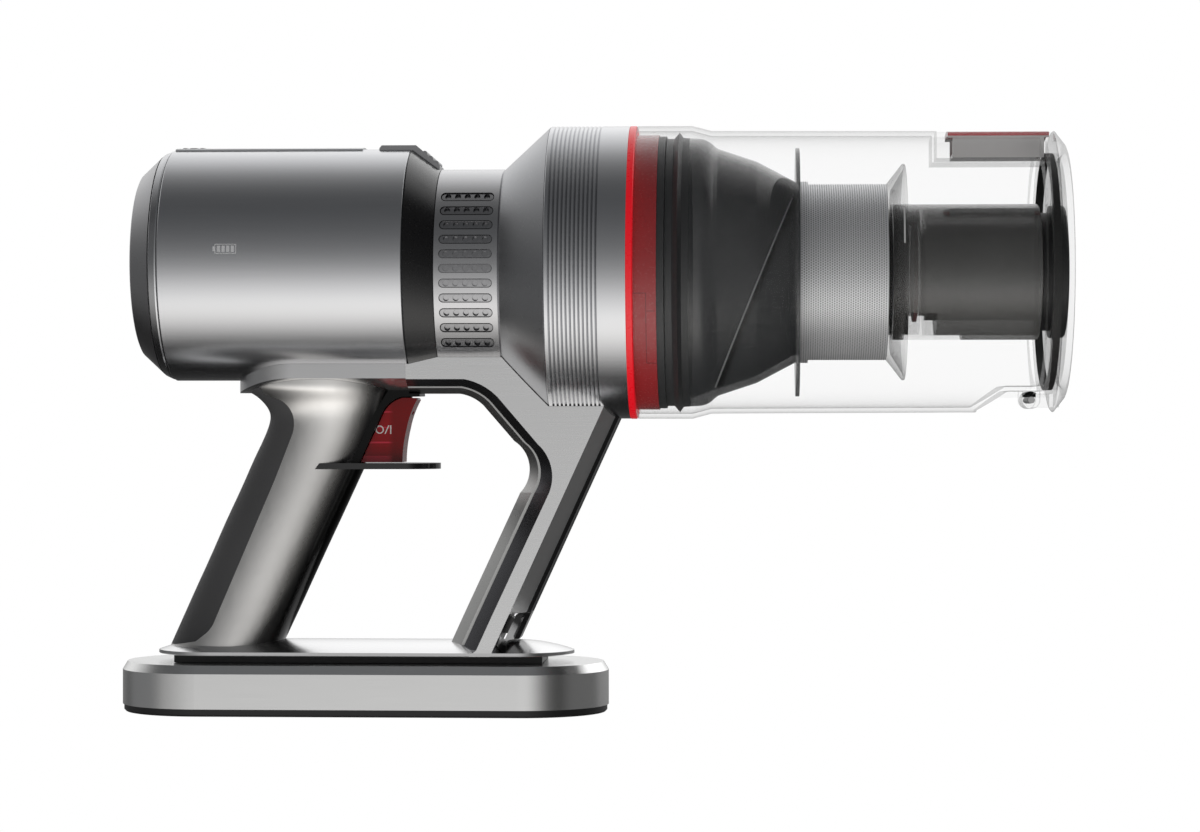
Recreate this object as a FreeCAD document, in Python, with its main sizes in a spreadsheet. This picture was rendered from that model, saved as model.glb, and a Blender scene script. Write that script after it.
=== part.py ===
"""Handheld vacuum cleaner: barrel with filter, motor, cyclone and clear bin, ring handle, battery base.

Millimetres. +X runs along the barrel towards the nozzle, +Z is up, and the origin is the centre of
the base's underside. Two axes run along X: the rear barrel's and, a little lower, the front module's.
"""
import FreeCAD, Part
import math
import os
import Sketcher

document = FreeCAD.newDocument("HandheldVacuum")
sheet = document.addObject("Spreadsheet::Sheet", "Dims")

DIMENSIONS = {
    # the two long axes and the general fits
    "rear_axis": 187.6, "front_axis": 184.2, "wall": 2.2, "gap": 0.3, "thin": 1.2,
    # rear barrel, its end ring and the cap that carries the filter
    "cap_back": -93.2, "cap_face_radius": 38.6, "ring_back": -84.1, "ring_radius": 46.9,
    "barrel_back": -80.2, "barrel_front": 20.8, "barrel_radius": 48.7,
    "spigot_front": -71.0, "spigot_radius": 44.2, "vent_inner": 12.0, "vent_outer": 30.0,
    "vent_width": 3.4, "vent_count": 18,
    "filter_front": -18.0, "filter_radius": 41.0, "flange_fit": 44.2, "filter_core": 25.0, "pleat_depth": 9.0,
    "pleat_count": 40,
    # strip, buttons and release catch on top
    "strip_back": -79.0, "strip_front": 0.0, "strip_half_width": 10.0, "strip_rise": 0.7,
    "mode_back": -76.6, "mode_front": -67.8, "mode_half_width": 5.5, "mode_slot": 1.3,
    "release_back": 6.8, "release_bend": 22.2, "release_front": 32.2, "release_top": 237.5,
    "release_low": 228.9, "release_half_width": 8.5, "release_thick": 3.4, "rib_radius": 1.1,
    # collar, neck with its exhaust slots, cone, ribbed housing and red ring
    "collar_front": 32.6, "neck_radius": 43.5, "neck_front": 59.4,
    "slot_centre": 46.0, "slot_half_length": 11.0, "slot_radius": 1.85, "slot_pitch": 6.0,
    "slot_count": 11, "grille_sink": 0.5, "dimple_radius": 1.25, "dimple_pitch": 4.0,
    "dimple_depth": 0.9, "dimple_count": 5,
    "housing_back": 78.8, "housing_front": 112.1, "housing_radius": 61.3,
    "groove_start": 80.6, "groove_pitch": 1.73, "groove_width": 0.9, "groove_depth": 0.55,
    "groove_count": 12, "red_ring_front": 114.9,
    # motor
    "can_back": 37.0, "can_front": 84.0, "can_radius": 28.0, "shaft_radius": 2.5,
    "shaft_back": 33.0, "shaft_front": 98.0, "bearing_radius": 8.0, "bearing_length": 6.0,
    "bearing_fit": 0.05, "stator_back": 46.0, "stator_front": 70.0, "stator_radius": 25.5,
    "stator_bore": 10.5, "magnet_radius": 9.5, "impeller_back": 86.0, "impeller_front": 97.0,
    "impeller_radius": 32.0, "blade_count": 9,
    # cyclone seat, seal, cone, shroud and inlet tube
    "seat_front": 124.3, "seat_radius": 57.5, "seal_front": 137.0, "seal_radius": 56.4,
    "lip_radius": 58.6, "shoulder_x": 148.7, "shoulder_radius": 51.7, "cone_front": 181.0,
    "cone_radius": 37.8, "flange_radius": 52.0, "flange_thick": 1.6,
    "shroud_back": 183.5, "shroud_front": 218.8, "shroud_radius": 36.75,
    "skirt_front": 226.4, "skirt_radius": 45.2, "tube_front": 281.8, "tube_radius": 28.35,
    "socket_radius": 18.2, "socket_wall": 2.0, "flap_x": 231.0,
    # clear bin and its door
    "bin_step_back": 138.0, "bin_step_front": 146.0, "bin_radius": 59.2, "bin_front": 287.3,
    "bin_front_radius": 58.6, "bin_lip_back": 281.6, "bin_lip_radius": 47.5, "seal_seat": 284.0,
    "door_seal_radius": 50.4, "door_front": 292.7, "door_face_radius": 52.4,
    "notch_back": 256.0, "notch_bend": 268.0, "notch_floor": 134.4, "notch_half_width": 26.0,
    "pin_x": 278.4, "pin_z": 130.6, "pin_radius": 1.4, "ear_radius": 3.6,
    "latch_back": 244.0, "latch_front": 285.8, "latch_travel": 4.0, "latch_half_width": 11.0,
    "latch_pocket_floor": 231.0,
    "collar_radius": 27.6, "collar_socket_radius": 18.8, "collar_back": 282.4,
    # ring handle
    "handle_half_width": 24.75, "core_half_width": 16.4, "groove_inner": 14.6, "groove_sink": 1.5,
    "saddle_radius": 54.0, "nose_tip": -53.0, "saddle_front": 19.6, "lean": 0.456,
    "rail_low": 133.4, "rail_face_low": 139.3, "rail_bend_x": 40.0, "rail_face_bend_x": 43.9,
    "strut_foot_x": 36.0, "strut_face_foot_x": 49.0,
    "front_x": 70.0, "front_z": 39.4, "seam_inset": 8.6, "bevel_inset": 2.5,
    "bevel_half_width": 10.2, "arch_z": 42.0, "latch_low": 30.8, "latch_high": 41.6,
    # foot plate and grip
    "plate_back": -87.4, "plate_front": 88.2, "plate_half_width": 24.7, "plate_bottom": 24.2,
    "plate_edge": 25.8, "plate_crown": 30.0, "grip_skin": 4.2, "pad_skin": 2.0,
    "shelf_low": 101.8, "shelf_top": 104.3, "shelf_back": -22.0, "shelf_front": 31.8,
    "shelf_root": 17.0, "shelf_half_width": 15.0,
    "trigger_half_width": 8.2, "trigger_room": 8.8, "trigger_low": 104.6,
    "trigger_pin_x": 17.4, "trigger_pin_z": 127.8, "trigger_pin_radius": 1.5,
    # battery base
    "base_half_length": 102.7, "base_half_width": 36.0, "tray_height": 3.1, "tray_chamfer": 0.8,
    "base_shoulder": 17.6, "base_top": 21.0, "base_chamfer": 2.1, "base_roof": 1.2,
    "cell_radius": 9.0, "cell_length": 65.0, "cell_pitch": 18.6, "cell_count": 8, "cell_z": 10.5,
    "dock_back": -78.0, "dock_front": 76.0, "dock_half_width": 19.0,
}


class Size:
    """A dimension that carries its sheet formula, so that arithmetic on it stays parametric."""

    def __init__(self, number, formula):
        self.number = number
        self.formula = formula

    def _join(self, other, sign, number):
        text = other.formula if isinstance(other, Size) else repr(float(other))
        return Size(number, f"({self.formula} {sign} {text})")

    def __add__(self, other):
        return self._join(other, "+", self.number + plain(other))

    def __sub__(self, other):
        return self._join(other, "-", self.number - plain(other))

    def __mul__(self, other):
        return self._join(other, "*", self.number * plain(other))

    def __truediv__(self, other):
        return self._join(other, "/", self.number / plain(other))

    def __neg__(self):
        return Size(-self.number, f"(0 - {self.formula})")

    def __radd__(self, other):
        return constant(other) + self

    def __rsub__(self, other):
        return constant(other) - self


class Dims:
    """Each sheet cell by its alias, such as D.wall."""


def plain(value):
    """The number behind a driven or a bare value."""
    return value.number if isinstance(value, Size) else float(value)


def constant(number):
    return Size(float(number), repr(float(number)))


AXIS = constant(0)
D = Dims()
for row, (alias, number) in enumerate(DIMENSIONS.items(), start=1):
    sheet.set(f"A{row}", alias)
    sheet.set(f"B{row}", str(number))
    sheet.setAlias(f"B{row}", alias)
    setattr(D, alias, Size(number, "Dims." + alias))
document.recompute()


# ---------------------------------------------------------------- drawing helpers

def bind(thing, prop, value):
    """Sets a property from the sheet, or from a plain number."""
    if isinstance(value, Size):
        thing.setExpression(prop, value.formula)
    else:
        setattr(thing, prop, value)


def move(thing, x=0, y=0, z=0):
    """Puts a sub-part's Placement at driven distances from the origin."""
    for axis, value in zip("xyz", (x, y, z)):
        if isinstance(value, Size):
            thing.setExpression(f"Placement.Base.{axis}", value.formula)
        elif value:
            thing.setExpression(f"Placement.Base.{axis}", repr(float(value)))


def new_body(name):
    part = document.addObject("PartDesign::Body", name)
    part.Label = name
    return part


def origin_plane(part, role):
    return next(item for item in part.Origin.OriginFeatures if item.Role == role)


def edge_between(start, end, radius):
    """A straight edge, or the shorter arc that bulges left of the travel for a positive radius."""
    first = FreeCAD.Vector(plain(start[0]), plain(start[1]), 0)
    last = FreeCAD.Vector(plain(end[0]), plain(end[1]), 0)
    if radius is None:
        return Part.LineSegment(first, last)
    chord = last - first
    half = chord.Length / 2
    size = abs(plain(radius))
    rise = size - math.sqrt(max(size * size - half * half, 0))
    side = math.copysign(1, plain(radius))
    left = FreeCAD.Vector(-chord.y, chord.x, 0).normalize()
    middle = (first + last) * 0.5 + left * rise * side
    return Part.Arc(first, middle, last)


def draw(part, role, corners, name="outline", height=None):
    """A closed sketch: (x, y) corners, or (x, y, radius) where an arc arrives at the corner."""
    sketch = part.newObject("Sketcher::SketchObject", f"{part.Name}_{name}")
    sketch.AttachmentSupport = (origin_plane(part, role), [""])
    sketch.MapMode = "FlatFace"
    if height is not None:
        sketch.setExpression("AttachmentOffset.Base.z", (constant(0) + height).formula)
    count = len(corners)
    for index in range(count):
        start = corners[index]
        end = corners[(index + 1) % count]
        sketch.addGeometry(edge_between(start, end, end[2] if len(end) > 2 else None), False)
    arcs = []
    for index in range(count):
        following = (index + 1) % count
        at, tail = 1, 2
        target = FreeCAD.Vector(plain(corners[following][0]), plain(corners[following][1]), 0)
        if sketch.getPoint(index, 2).distanceToPoint(target) > 1e-6:
            at, tail = 2, 1
        arcs.append((at, tail))
    for index in range(count):
        following = (index + 1) % count
        sketch.addConstraint(Sketcher.Constraint(
            "Coincident", index, arcs[index][1], following, arcs[following][0]))
    for index, corner in enumerate(corners):
        for kind, value in (("DistanceX", corner[0]), ("DistanceY", corner[1])):
            number = sketch.addConstraint(Sketcher.Constraint(
                kind, -1, 1, index, arcs[index][0], plain(value)))
            if isinstance(value, Size):
                sketch.setExpression(f"Constraints[{number}]", value.formula)
        if len(corner) > 2:
            before = (index - 1) % count
            radius = corner[2] if plain(corner[2]) > 0 else -corner[2]
            number = sketch.addConstraint(Sketcher.Constraint("Radius", before, plain(radius)))
            if isinstance(radius, Size):
                sketch.setExpression(f"Constraints[{number}]", radius.formula)
    return sketch


def draw_circles(part, role, circles, name="circles"):
    """Circles given as (x, y, radius), each held by its centre and radius."""
    sketch = part.newObject("Sketcher::SketchObject", f"{part.Name}_{name}")
    sketch.AttachmentSupport = (origin_plane(part, role), [""])
    sketch.MapMode = "FlatFace"
    for index, (x, y, radius) in enumerate(circles):
        centre = FreeCAD.Vector(plain(x), plain(y), 0)
        sketch.addGeometry(Part.Circle(centre, FreeCAD.Vector(0, 0, 1), plain(radius)), False)
        for constraint, value in (
            (Sketcher.Constraint("DistanceX", -1, 1, index, 3, plain(x)), x),
            (Sketcher.Constraint("DistanceY", -1, 1, index, 3, plain(y)), y),
            (Sketcher.Constraint("Radius", index, plain(radius)), radius),
        ):
            number = sketch.addConstraint(constraint)
            if isinstance(value, Size):
                sketch.setExpression(f"Constraints[{number}]", value.formula)
    return sketch


def turned(name, corners, height=None):
    """A solid of revolution about X: corners are (x, radius), and height is the axis's Z."""
    part = new_body(name)
    profile = draw(part, "XY_Plane", corners)
    feature = part.newObject("PartDesign::Revolution", name + "_turn")
    feature.Profile = profile
    feature.ReferenceAxis = (profile, ["H_Axis"])
    feature.Angle = 360
    move(part, z=D.front_axis if height is None else height)
    return part


def ring(name, back, front, inner, outer, height=None):
    """A plain tube along X."""
    return turned(name, [(back, inner), (back, outer), (front, outer), (front, inner)], height)


def plate(name, corners, half_width, role="XZ_Plane"):
    """An outline padded to both sides of its plane by half_width."""
    part = new_body(name)
    profile = draw(part, role, corners)
    feature = part.newObject("PartDesign::Pad", name + "_pad")
    feature.Profile = profile
    feature.SideType = "Symmetric"
    bind(feature, "Length", half_width * 2)
    return part


def slab(name, corners, low, high, role="XY_Plane"):
    """An outline padded from one height to another."""
    part = new_body(name)
    profile = draw(part, role, corners, height=low)
    feature = part.newObject("PartDesign::Pad", name + "_pad")
    feature.Profile = profile
    bind(feature, "Length", high - low)
    return part


def box(name, x, y, z):
    """A block between the driven limits given as (low, high) on each axis."""
    block = document.addObject("Part::Box", name)
    for prop, (low, high) in zip(("Length", "Width", "Height"), (x, y, z)):
        bind(block, prop, constant(0) + high - low)
    move(block, x[0], y[0], z[0])
    return block


def rod(name, axis, start, length, radius):
    """A cylinder along X, Y or Z from a driven start point."""
    cylinder = document.addObject("Part::Cylinder", name)
    turn = {"x": (FreeCAD.Vector(0, 1, 0), 90), "y": (FreeCAD.Vector(1, 0, 0), -90),
            "z": (FreeCAD.Vector(0, 0, 1), 0)}[axis]
    cylinder.Placement = FreeCAD.Placement(FreeCAD.Vector(), FreeCAD.Rotation(*turn))
    bind(cylinder, "Radius", radius)
    bind(cylinder, "Height", length)
    move(cylinder, *start)
    return cylinder


def boolean(kind, name, pieces):
    result = document.addObject(kind, name)
    result.Label = name
    result.Shapes = pieces
    result.Refine = True
    return result


def join(name, *pieces):
    return boolean("Part::MultiFuse", name, list(pieces))


def overlap(name, *pieces):
    return boolean("Part::MultiCommon", name, list(pieces))


def cut(name, base, *tools):
    result = document.addObject("Part::Cut", name)
    result.Label = name
    result.Base = base
    result.Tool = tools[0] if len(tools) == 1 else join(name + "_tools", *tools)
    result.Refine = True
    return result


def loft(name, sections, ruled=False):
    result = document.addObject("Part::Loft", name)
    result.Label = name
    result.Sections = sections
    result.Solid = True
    result.Ruled = ruled
    result.MaxDegree = 3
    return result


def mirrored(name, source):
    """The same piece on the other side of the middle plane."""
    result = document.addObject("Part::Mirroring", name)
    result.Label = name
    result.Source = source
    result.Normal = FreeCAD.Vector(0, 1, 0)
    return result


def around(name, feature, part, count, axis="X_Axis"):
    """Repeats a body's feature around one of its origin axes."""
    pattern = part.newObject("PartDesign::PolarPattern", name)
    pattern.Originals = [feature]
    pattern.Axis = (origin_plane(part, axis), [""])
    pattern.Angle = 360
    bind(pattern, "Occurrences", count)
    part.Tip = pattern
    return pattern


def along(name, feature, part, axis, length, count):
    """Repeats a body's feature along one of its origin axes."""
    pattern = part.newObject("PartDesign::LinearPattern", name)
    pattern.Originals = [feature]
    pattern.Direction = (origin_plane(part, axis), [""])
    bind(pattern, "Length", length)
    bind(pattern, "Occurrences", count)
    part.Tip = pattern
    return pattern


parts = []


def keep(*objects):
    """Marks finished sub-parts; each one's Label is its node's name."""
    parts.extend(objects)


# ---------------------------------------------------------------- outer surface of the body

def collar_solid(name, inset):
    """The eccentric cone between the barrel and the neck, inset from its outer surface."""
    part = new_body(name)
    sections = []
    for end, x, radius, centre in (
        ("rear", D.barrel_front, D.barrel_radius - inset, D.rear_axis - D.rear_axis),
        ("front", D.collar_front, D.neck_radius - inset, D.front_axis - D.rear_axis),
    ):
        sections.append(draw(part, "YZ_Plane", [
            (radius, centre, -radius), (AXIS, centre + radius, -radius),
            (-radius, centre, -radius), (AXIS, centre - radius, -radius)], end, height=x))
    feature = part.newObject("PartDesign::AdditiveLoft", name + "_loft")
    feature.Profile = sections[0]
    feature.Sections = sections[1:]
    feature.Ruled = True
    move(part, z=D.rear_axis)
    return part


SKIN = 0.05
BURIED = 10.0
rear_envelope = turned("rear_envelope", [
    (D.ring_back, AXIS), (D.ring_back, D.ring_radius + SKIN), (D.barrel_back, D.barrel_radius + SKIN),
    (D.barrel_front, D.barrel_radius + SKIN), (D.barrel_front, AXIS)], D.rear_axis)
front_envelope = turned("front_envelope", [
    (D.barrel_front, AXIS), (D.barrel_front, D.neck_radius + SKIN),
    (D.neck_front, D.neck_radius + SKIN), (D.housing_back, D.housing_radius + SKIN),
    (D.red_ring_front, D.housing_radius + SKIN), (D.red_ring_front, AXIS)])
envelope = join("envelope", rear_envelope, front_envelope, collar_solid("collar_envelope", -SKIN))


# ---------------------------------------------------------------- rear barrel and filter

def build_barrel():
    """The barrel tube with its end ring, control strip and the openings for both buttons."""
    inner = D.barrel_radius - D.wall
    tube = turned("barrel_tube", [
        (D.barrel_back + 0.4, inner), (D.barrel_back, D.barrel_radius - 0.5),
        (D.barrel_back + 0.5, D.barrel_radius), (D.barrel_front - 0.8, D.barrel_radius),
        (D.barrel_front, D.barrel_radius - 0.8), (D.barrel_front, inner)], D.rear_axis)
    fit = D.gap
    top = D.release_top
    release_hole = box("release_hole", (D.release_back - fit, D.collar_front + 1),
                       (-D.release_half_width - fit, D.release_half_width + fit),
                       (D.front_axis + D.neck_radius - D.wall * 2, top + BURIED))
    mode_hole = box("mode_hole", (D.mode_back - fit, D.mode_front + fit),
                    (-D.mode_half_width - fit, D.mode_half_width + fit),
                    (D.rear_axis + inner - BURIED, top + BURIED))
    shell = cut("barrel_shell", tube, release_hole, mode_hole)
    end_ring = turned("barrel_end_ring", [
        (D.ring_back + 1.0, D.ring_radius - D.wall), (D.ring_back, D.ring_radius - 0.6),
        (D.ring_back + 0.4, D.ring_radius), (D.barrel_back - 0.9, D.barrel_radius - 0.6),
        (D.barrel_back - 0.3, D.barrel_radius - 0.7), (D.barrel_back - 0.3, D.ring_radius - D.wall)],
        D.rear_axis)
    strip_tube = ring("strip_tube", D.strip_back, D.strip_front, D.barrel_radius,
                      D.barrel_radius + D.strip_rise, D.rear_axis)
    strip_block = box("strip_block", (D.strip_back, D.strip_front),
                      (-D.strip_half_width, D.strip_half_width), (D.rear_axis, top + BURIED))
    strip_bar = overlap("strip_bar", strip_tube, strip_block)
    strip = cut("control_strip", strip_bar, mode_hole)
    keep(shell, end_ring, strip)
    return inner, release_hole


def build_filter(inner):
    """The filter cartridge that pulls out rearwards, and the vented cap twisted onto it."""
    start = D.spigot_front
    frame = turned("filter_frame_turn", [
        (start, D.filter_core), (start, D.filter_radius), (start + D.wall, D.filter_radius),
        (start + D.wall, D.filter_core + D.thin),
        (D.filter_front - D.wall, D.filter_core + D.thin),
        (D.filter_front - D.wall, D.flange_fit), (D.filter_front, D.flange_fit),
        (D.filter_front, 8.0), (D.filter_front - D.wall, 8.0),
        (D.filter_front - D.wall, D.filter_core)], D.rear_axis)
    frame.Label = "filter_frame"
    count = DIMENSIONS["pleat_count"]
    outer = D.filter_radius - 0.5
    valley = outer - D.pleat_depth
    corners = []
    for index in range(count):
        for radius, step in ((valley, index), (outer, index + 0.5)):
            turn = 2 * math.pi * step / count
            corners.append((radius * math.cos(turn), radius * math.sin(turn)))
    media = new_body("filter_media")
    profile = draw(media, "YZ_Plane", corners, height=start + D.wall + D.gap)
    pad = media.newObject("PartDesign::Pad", "filter_media_pad")
    pad.Profile = profile
    bind(pad, "Length", D.filter_front - start - D.wall * 2 - D.gap * 2)
    core = draw_circles(media, "YZ_Plane", [(AXIS, AXIS, D.filter_core + D.thin + D.gap)])
    bore = media.newObject("PartDesign::Pocket", "filter_media_bore")
    bore.Profile = core
    bore.Type = "ThroughAll"
    bore.SideType = "Symmetric"
    move(media, z=D.rear_axis)
    keep(frame, media)

    cap = turned("rear_cap", [
        (D.cap_back, AXIS), (D.cap_back, D.cap_face_radius - 1.2),
        (D.cap_back + 0.5, D.cap_face_radius), (D.ring_back - D.gap, D.ring_radius - 0.6),
        (D.ring_back - D.gap, D.spigot_radius), (D.spigot_front - D.gap, D.spigot_radius),
        (D.spigot_front - D.gap, D.spigot_radius - D.wall),
        (D.ring_back - 1, D.spigot_radius - D.wall),
        (D.cap_back + D.wall, D.cap_face_radius - D.wall), (D.cap_back + D.wall, AXIS)],
        D.rear_axis)
    slot = draw(cap, "YZ_Plane", [
        (-D.vent_width / 2, D.vent_inner), (D.vent_width / 2, D.vent_inner),
        (D.vent_width / 2, D.vent_outer), (-D.vent_width / 2, D.vent_outer, -D.vent_width)],
        "vent", height=D.cap_back - 1)
    vent = cap.newObject("PartDesign::Pocket", "cap_vent")
    vent.Profile = slot
    vent.Reversed = True
    bind(vent, "Length", D.wall + 2)
    around("cap_vents", vent, cap, D.vent_count)
    keep(cap)


def build_buttons(release_hole):
    """The mode button on the strip, and the ribbed release catch over the collar."""
    cap_tube = ring("mode_tube", D.mode_back, D.mode_front, D.barrel_radius - D.wall + 0.2,
                    D.barrel_radius + D.strip_rise + 0.2, D.rear_axis)
    cap_block = box("mode_block", (D.mode_back, D.mode_front),
                    (-D.mode_half_width, D.mode_half_width), (D.rear_axis, D.release_top + BURIED))
    slots = [box(f"mode_slot_{index}", (place, place + D.mode_slot),
                 (-D.mode_half_width, D.mode_half_width),
                 (D.rear_axis + D.barrel_radius - 0.2, D.release_top + BURIED))
             for index, place in enumerate((D.mode_back + 1.6, D.mode_front - 2.9))]
    mode = cut("mode_button", overlap("mode_cap", cap_tube, cap_block), *slots)
    thick = D.release_thick
    body = plate("release_plate", [
        (D.release_back, D.release_top - 1.2), (D.release_back + 1.0, D.release_top),
        (D.release_bend, D.release_top), (D.release_front, D.release_low),
        (D.release_front, D.release_low - thick),
        (D.release_bend - 1.0, D.release_top - thick), (D.release_back, D.release_top - thick)],
        D.release_half_width)
    run = D.release_front - D.release_bend
    fall = D.release_top - D.release_low
    grips = []
    for index, share in enumerate((0.36, 0.60, 0.84)):
        start = (D.release_bend + run * share, -D.release_half_width + 0.8,
                 D.release_top - fall * share - D.rib_radius * 0.25)
        grips.append(rod(f"grip_rib_{index}", "y", start, D.release_half_width * 2 - 1.6,
                         D.rib_radius))
    keep(mode, join("release_button", body, *grips))
    seat_top = D.release_top - thick - 9.0
    seat_centre = D.release_back + 9.0
    seat_plate = box("spring_plate", (seat_centre - 4, seat_centre + 4),
                     (-D.release_half_width - 6, D.release_half_width + 6),
                     (seat_top - 1.4, seat_top))
    seat_limit = rod("spring_limit", "x", (D.release_back, 0, D.rear_axis), constant(30.0),
                     D.barrel_radius - D.wall)
    keep(overlap("spring_seat", seat_plate, seat_limit))
    keep(coil("release_spring", 2.6, D.release_top - thick - seat_top,
              (seat_centre, 0, seat_top)))


def coil(name, radius, height, foot, axis="z"):
    """A wire spring standing on its foot."""
    wire_radius = 0.4
    helix = document.addObject("Part::Helix", name + "_path")
    bind(helix, "Radius", constant(radius))
    bind(helix, "Pitch", constant(2.0))
    bind(helix, "Height", height - wire_radius * 2)
    wire = document.addObject("Part::Circle", name + "_wire")
    wire.Radius = wire_radius
    wire.Placement = FreeCAD.Placement(
        FreeCAD.Vector(radius, 0, 0), FreeCAD.Rotation(FreeCAD.Vector(1, 0, 0), 90))
    spring = document.addObject("Part::Sweep", name)
    spring.Label = name
    spring.Sections = [wire]
    spring.Spine = (helix, ["Edge1"])
    spring.Solid = True
    spring.Frenet = True
    if axis == "x":
        spring.Placement = FreeCAD.Placement(
            FreeCAD.Vector(), FreeCAD.Rotation(FreeCAD.Vector(0, 1, 0), 90))
        move(spring, foot[0] + wire_radius, foot[1], foot[2])
    else:
        move(spring, foot[0], foot[1], foot[2] + wire_radius)
    return spring


# ---------------------------------------------------------------- collar, neck, cone and housing

def stadium(part, centre, half_length, radius, height, name="stadium", role="XZ_Plane", **place):
    """A flat-sided outline with half-round ends about (centre, height)."""
    left = centre - half_length + radius
    right = centre + half_length - radius
    low = height - radius
    high = height + radius
    return draw(part, role, [
        (left, low, -radius), (right, low), (right + radius, height, -radius),
        (right, high, -radius), (left, high), (left - radius, height, -radius)], name, **place)


def slot_rows(part, feature):
    """Repeats the lowest slot up the side."""
    rise = D.slot_pitch * (DIMENSIONS["slot_count"] - 1)
    return along(part.Name + "_rows", feature, part, "Z_Axis", rise, D.slot_count)


def lowest_row():
    return -D.slot_pitch * ((DIMENSIONS["slot_count"] - 1) / 2)


def build_collar_and_neck(release_hole):
    """The eccentric collar, the slotted neck, and the grille whose islands fill the slots."""
    collar = cut("front_collar", collar_solid("collar_outer", constant(0)),
                 collar_solid("collar_inner", D.wall), release_hole)
    inner = D.neck_radius - D.wall
    edge = 0.4
    neck = turned("neck_shell", [
        (D.collar_front, inner), (D.collar_front, D.neck_radius - edge),
        (D.collar_front + edge, D.neck_radius), (D.neck_front - edge, D.neck_radius),
        (D.neck_front, D.neck_radius - edge), (D.neck_front, inner)])
    hole = neck.newObject("PartDesign::Pocket", "neck_slot")
    hole.Profile = stadium(neck, D.slot_centre, D.slot_half_length, D.slot_radius, lowest_row())
    hole.Type = "ThroughAll"
    hole.SideType = "Symmetric"
    slot_rows(neck, hole)

    top = D.neck_radius - D.grille_sink
    liner = ring("grille_liner", D.collar_front + 1, D.neck_front - 1, inner - D.thin, inner)
    crust = ring("grille_crust", D.collar_front + 1, D.neck_front - 1, inner - 0.1, top)
    fit = 0.35
    islands = new_body("grille_islands")
    island = islands.newObject("PartDesign::Pad", "grille_island")
    island.Profile = stadium(islands, D.slot_centre, D.slot_half_length - fit,
                             D.slot_radius - fit, lowest_row())
    island.SideType = "Symmetric"
    bind(island, "Length", D.neck_radius * 2)
    slot_rows(islands, island)
    move(islands, z=D.front_axis)
    dimples = new_body("grille_dimples")
    dimple = dimples.newObject("PartDesign::Pad", "grille_dimple")
    reach = D.dimple_pitch * ((DIMENSIONS["dimple_count"] - 1) / 2)
    dimple.Profile = draw_circles(dimples, "XZ_Plane", [
        (D.slot_centre - reach + D.dimple_pitch * index, lowest_row(), D.dimple_radius)
        for index in range(DIMENSIONS["dimple_count"])])
    dimple.SideType = "Symmetric"
    bind(dimple, "Length", D.neck_radius * 2)
    slot_rows(dimples, dimple)
    move(dimples, z=D.front_axis)
    dent_ring = ring("grille_dent_ring", D.collar_front + 1, D.neck_front - 1,
                     top - D.dimple_depth, D.neck_radius + 1)
    raised = overlap("grille_raised", crust, islands)
    dents = overlap("grille_dents", dent_ring, dimples)
    grille = cut("neck_grille", join("grille_body", liner, raised), dents)
    keep(collar, neck, grille)


def build_housing():
    """The dark cone, the ribbed housing, the red ring and the red seat for the bin."""
    wall = D.wall
    cone = turned("front_cone", [
        (D.neck_front, D.neck_radius - wall), (D.neck_front, D.neck_radius - 0.3),
        (D.housing_back, D.housing_radius - 0.3), (D.housing_back, D.housing_radius - wall * 1.4)])
    housing = turned("ribbed_housing", [
        (D.housing_back, D.housing_radius - wall), (D.housing_back, D.housing_radius - 0.5),
        (D.housing_back + 0.5, D.housing_radius), (D.housing_front, D.housing_radius),
        (D.housing_front, D.housing_radius - wall)])
    cutter = draw(housing, "XY_Plane", [
        (D.groove_start, D.housing_radius + 0.2), (D.groove_start, D.housing_radius),
        (D.groove_start + D.groove_width / 2, D.housing_radius - D.groove_depth),
        (D.groove_start + D.groove_width, D.housing_radius),
        (D.groove_start + D.groove_width, D.housing_radius + 0.2)], "groove")
    groove = housing.newObject("PartDesign::Groove", "housing_groove")
    groove.Profile = cutter
    groove.ReferenceAxis = (cutter, ["H_Axis"])
    groove.Angle = 360
    run = D.groove_pitch * (DIMENSIONS["groove_count"] - 1)
    along("housing_grooves", groove, housing, "X_Axis", run, D.groove_count)
    red = turned("red_ring", [
        (D.housing_front, D.seat_radius), (D.housing_front, D.housing_radius - 0.2),
        (D.housing_front + 0.3, D.housing_radius + 0.1),
        (D.red_ring_front - 0.3, D.housing_radius + 0.1),
        (D.red_ring_front, D.housing_radius - 0.2), (D.red_ring_front, D.seat_radius)])
    seat = ring("bin_seat", D.housing_front, D.seat_front, D.seat_radius - wall, D.seat_radius)
    keep(cone, housing, red, seat)


# ---------------------------------------------------------------- motor

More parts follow.
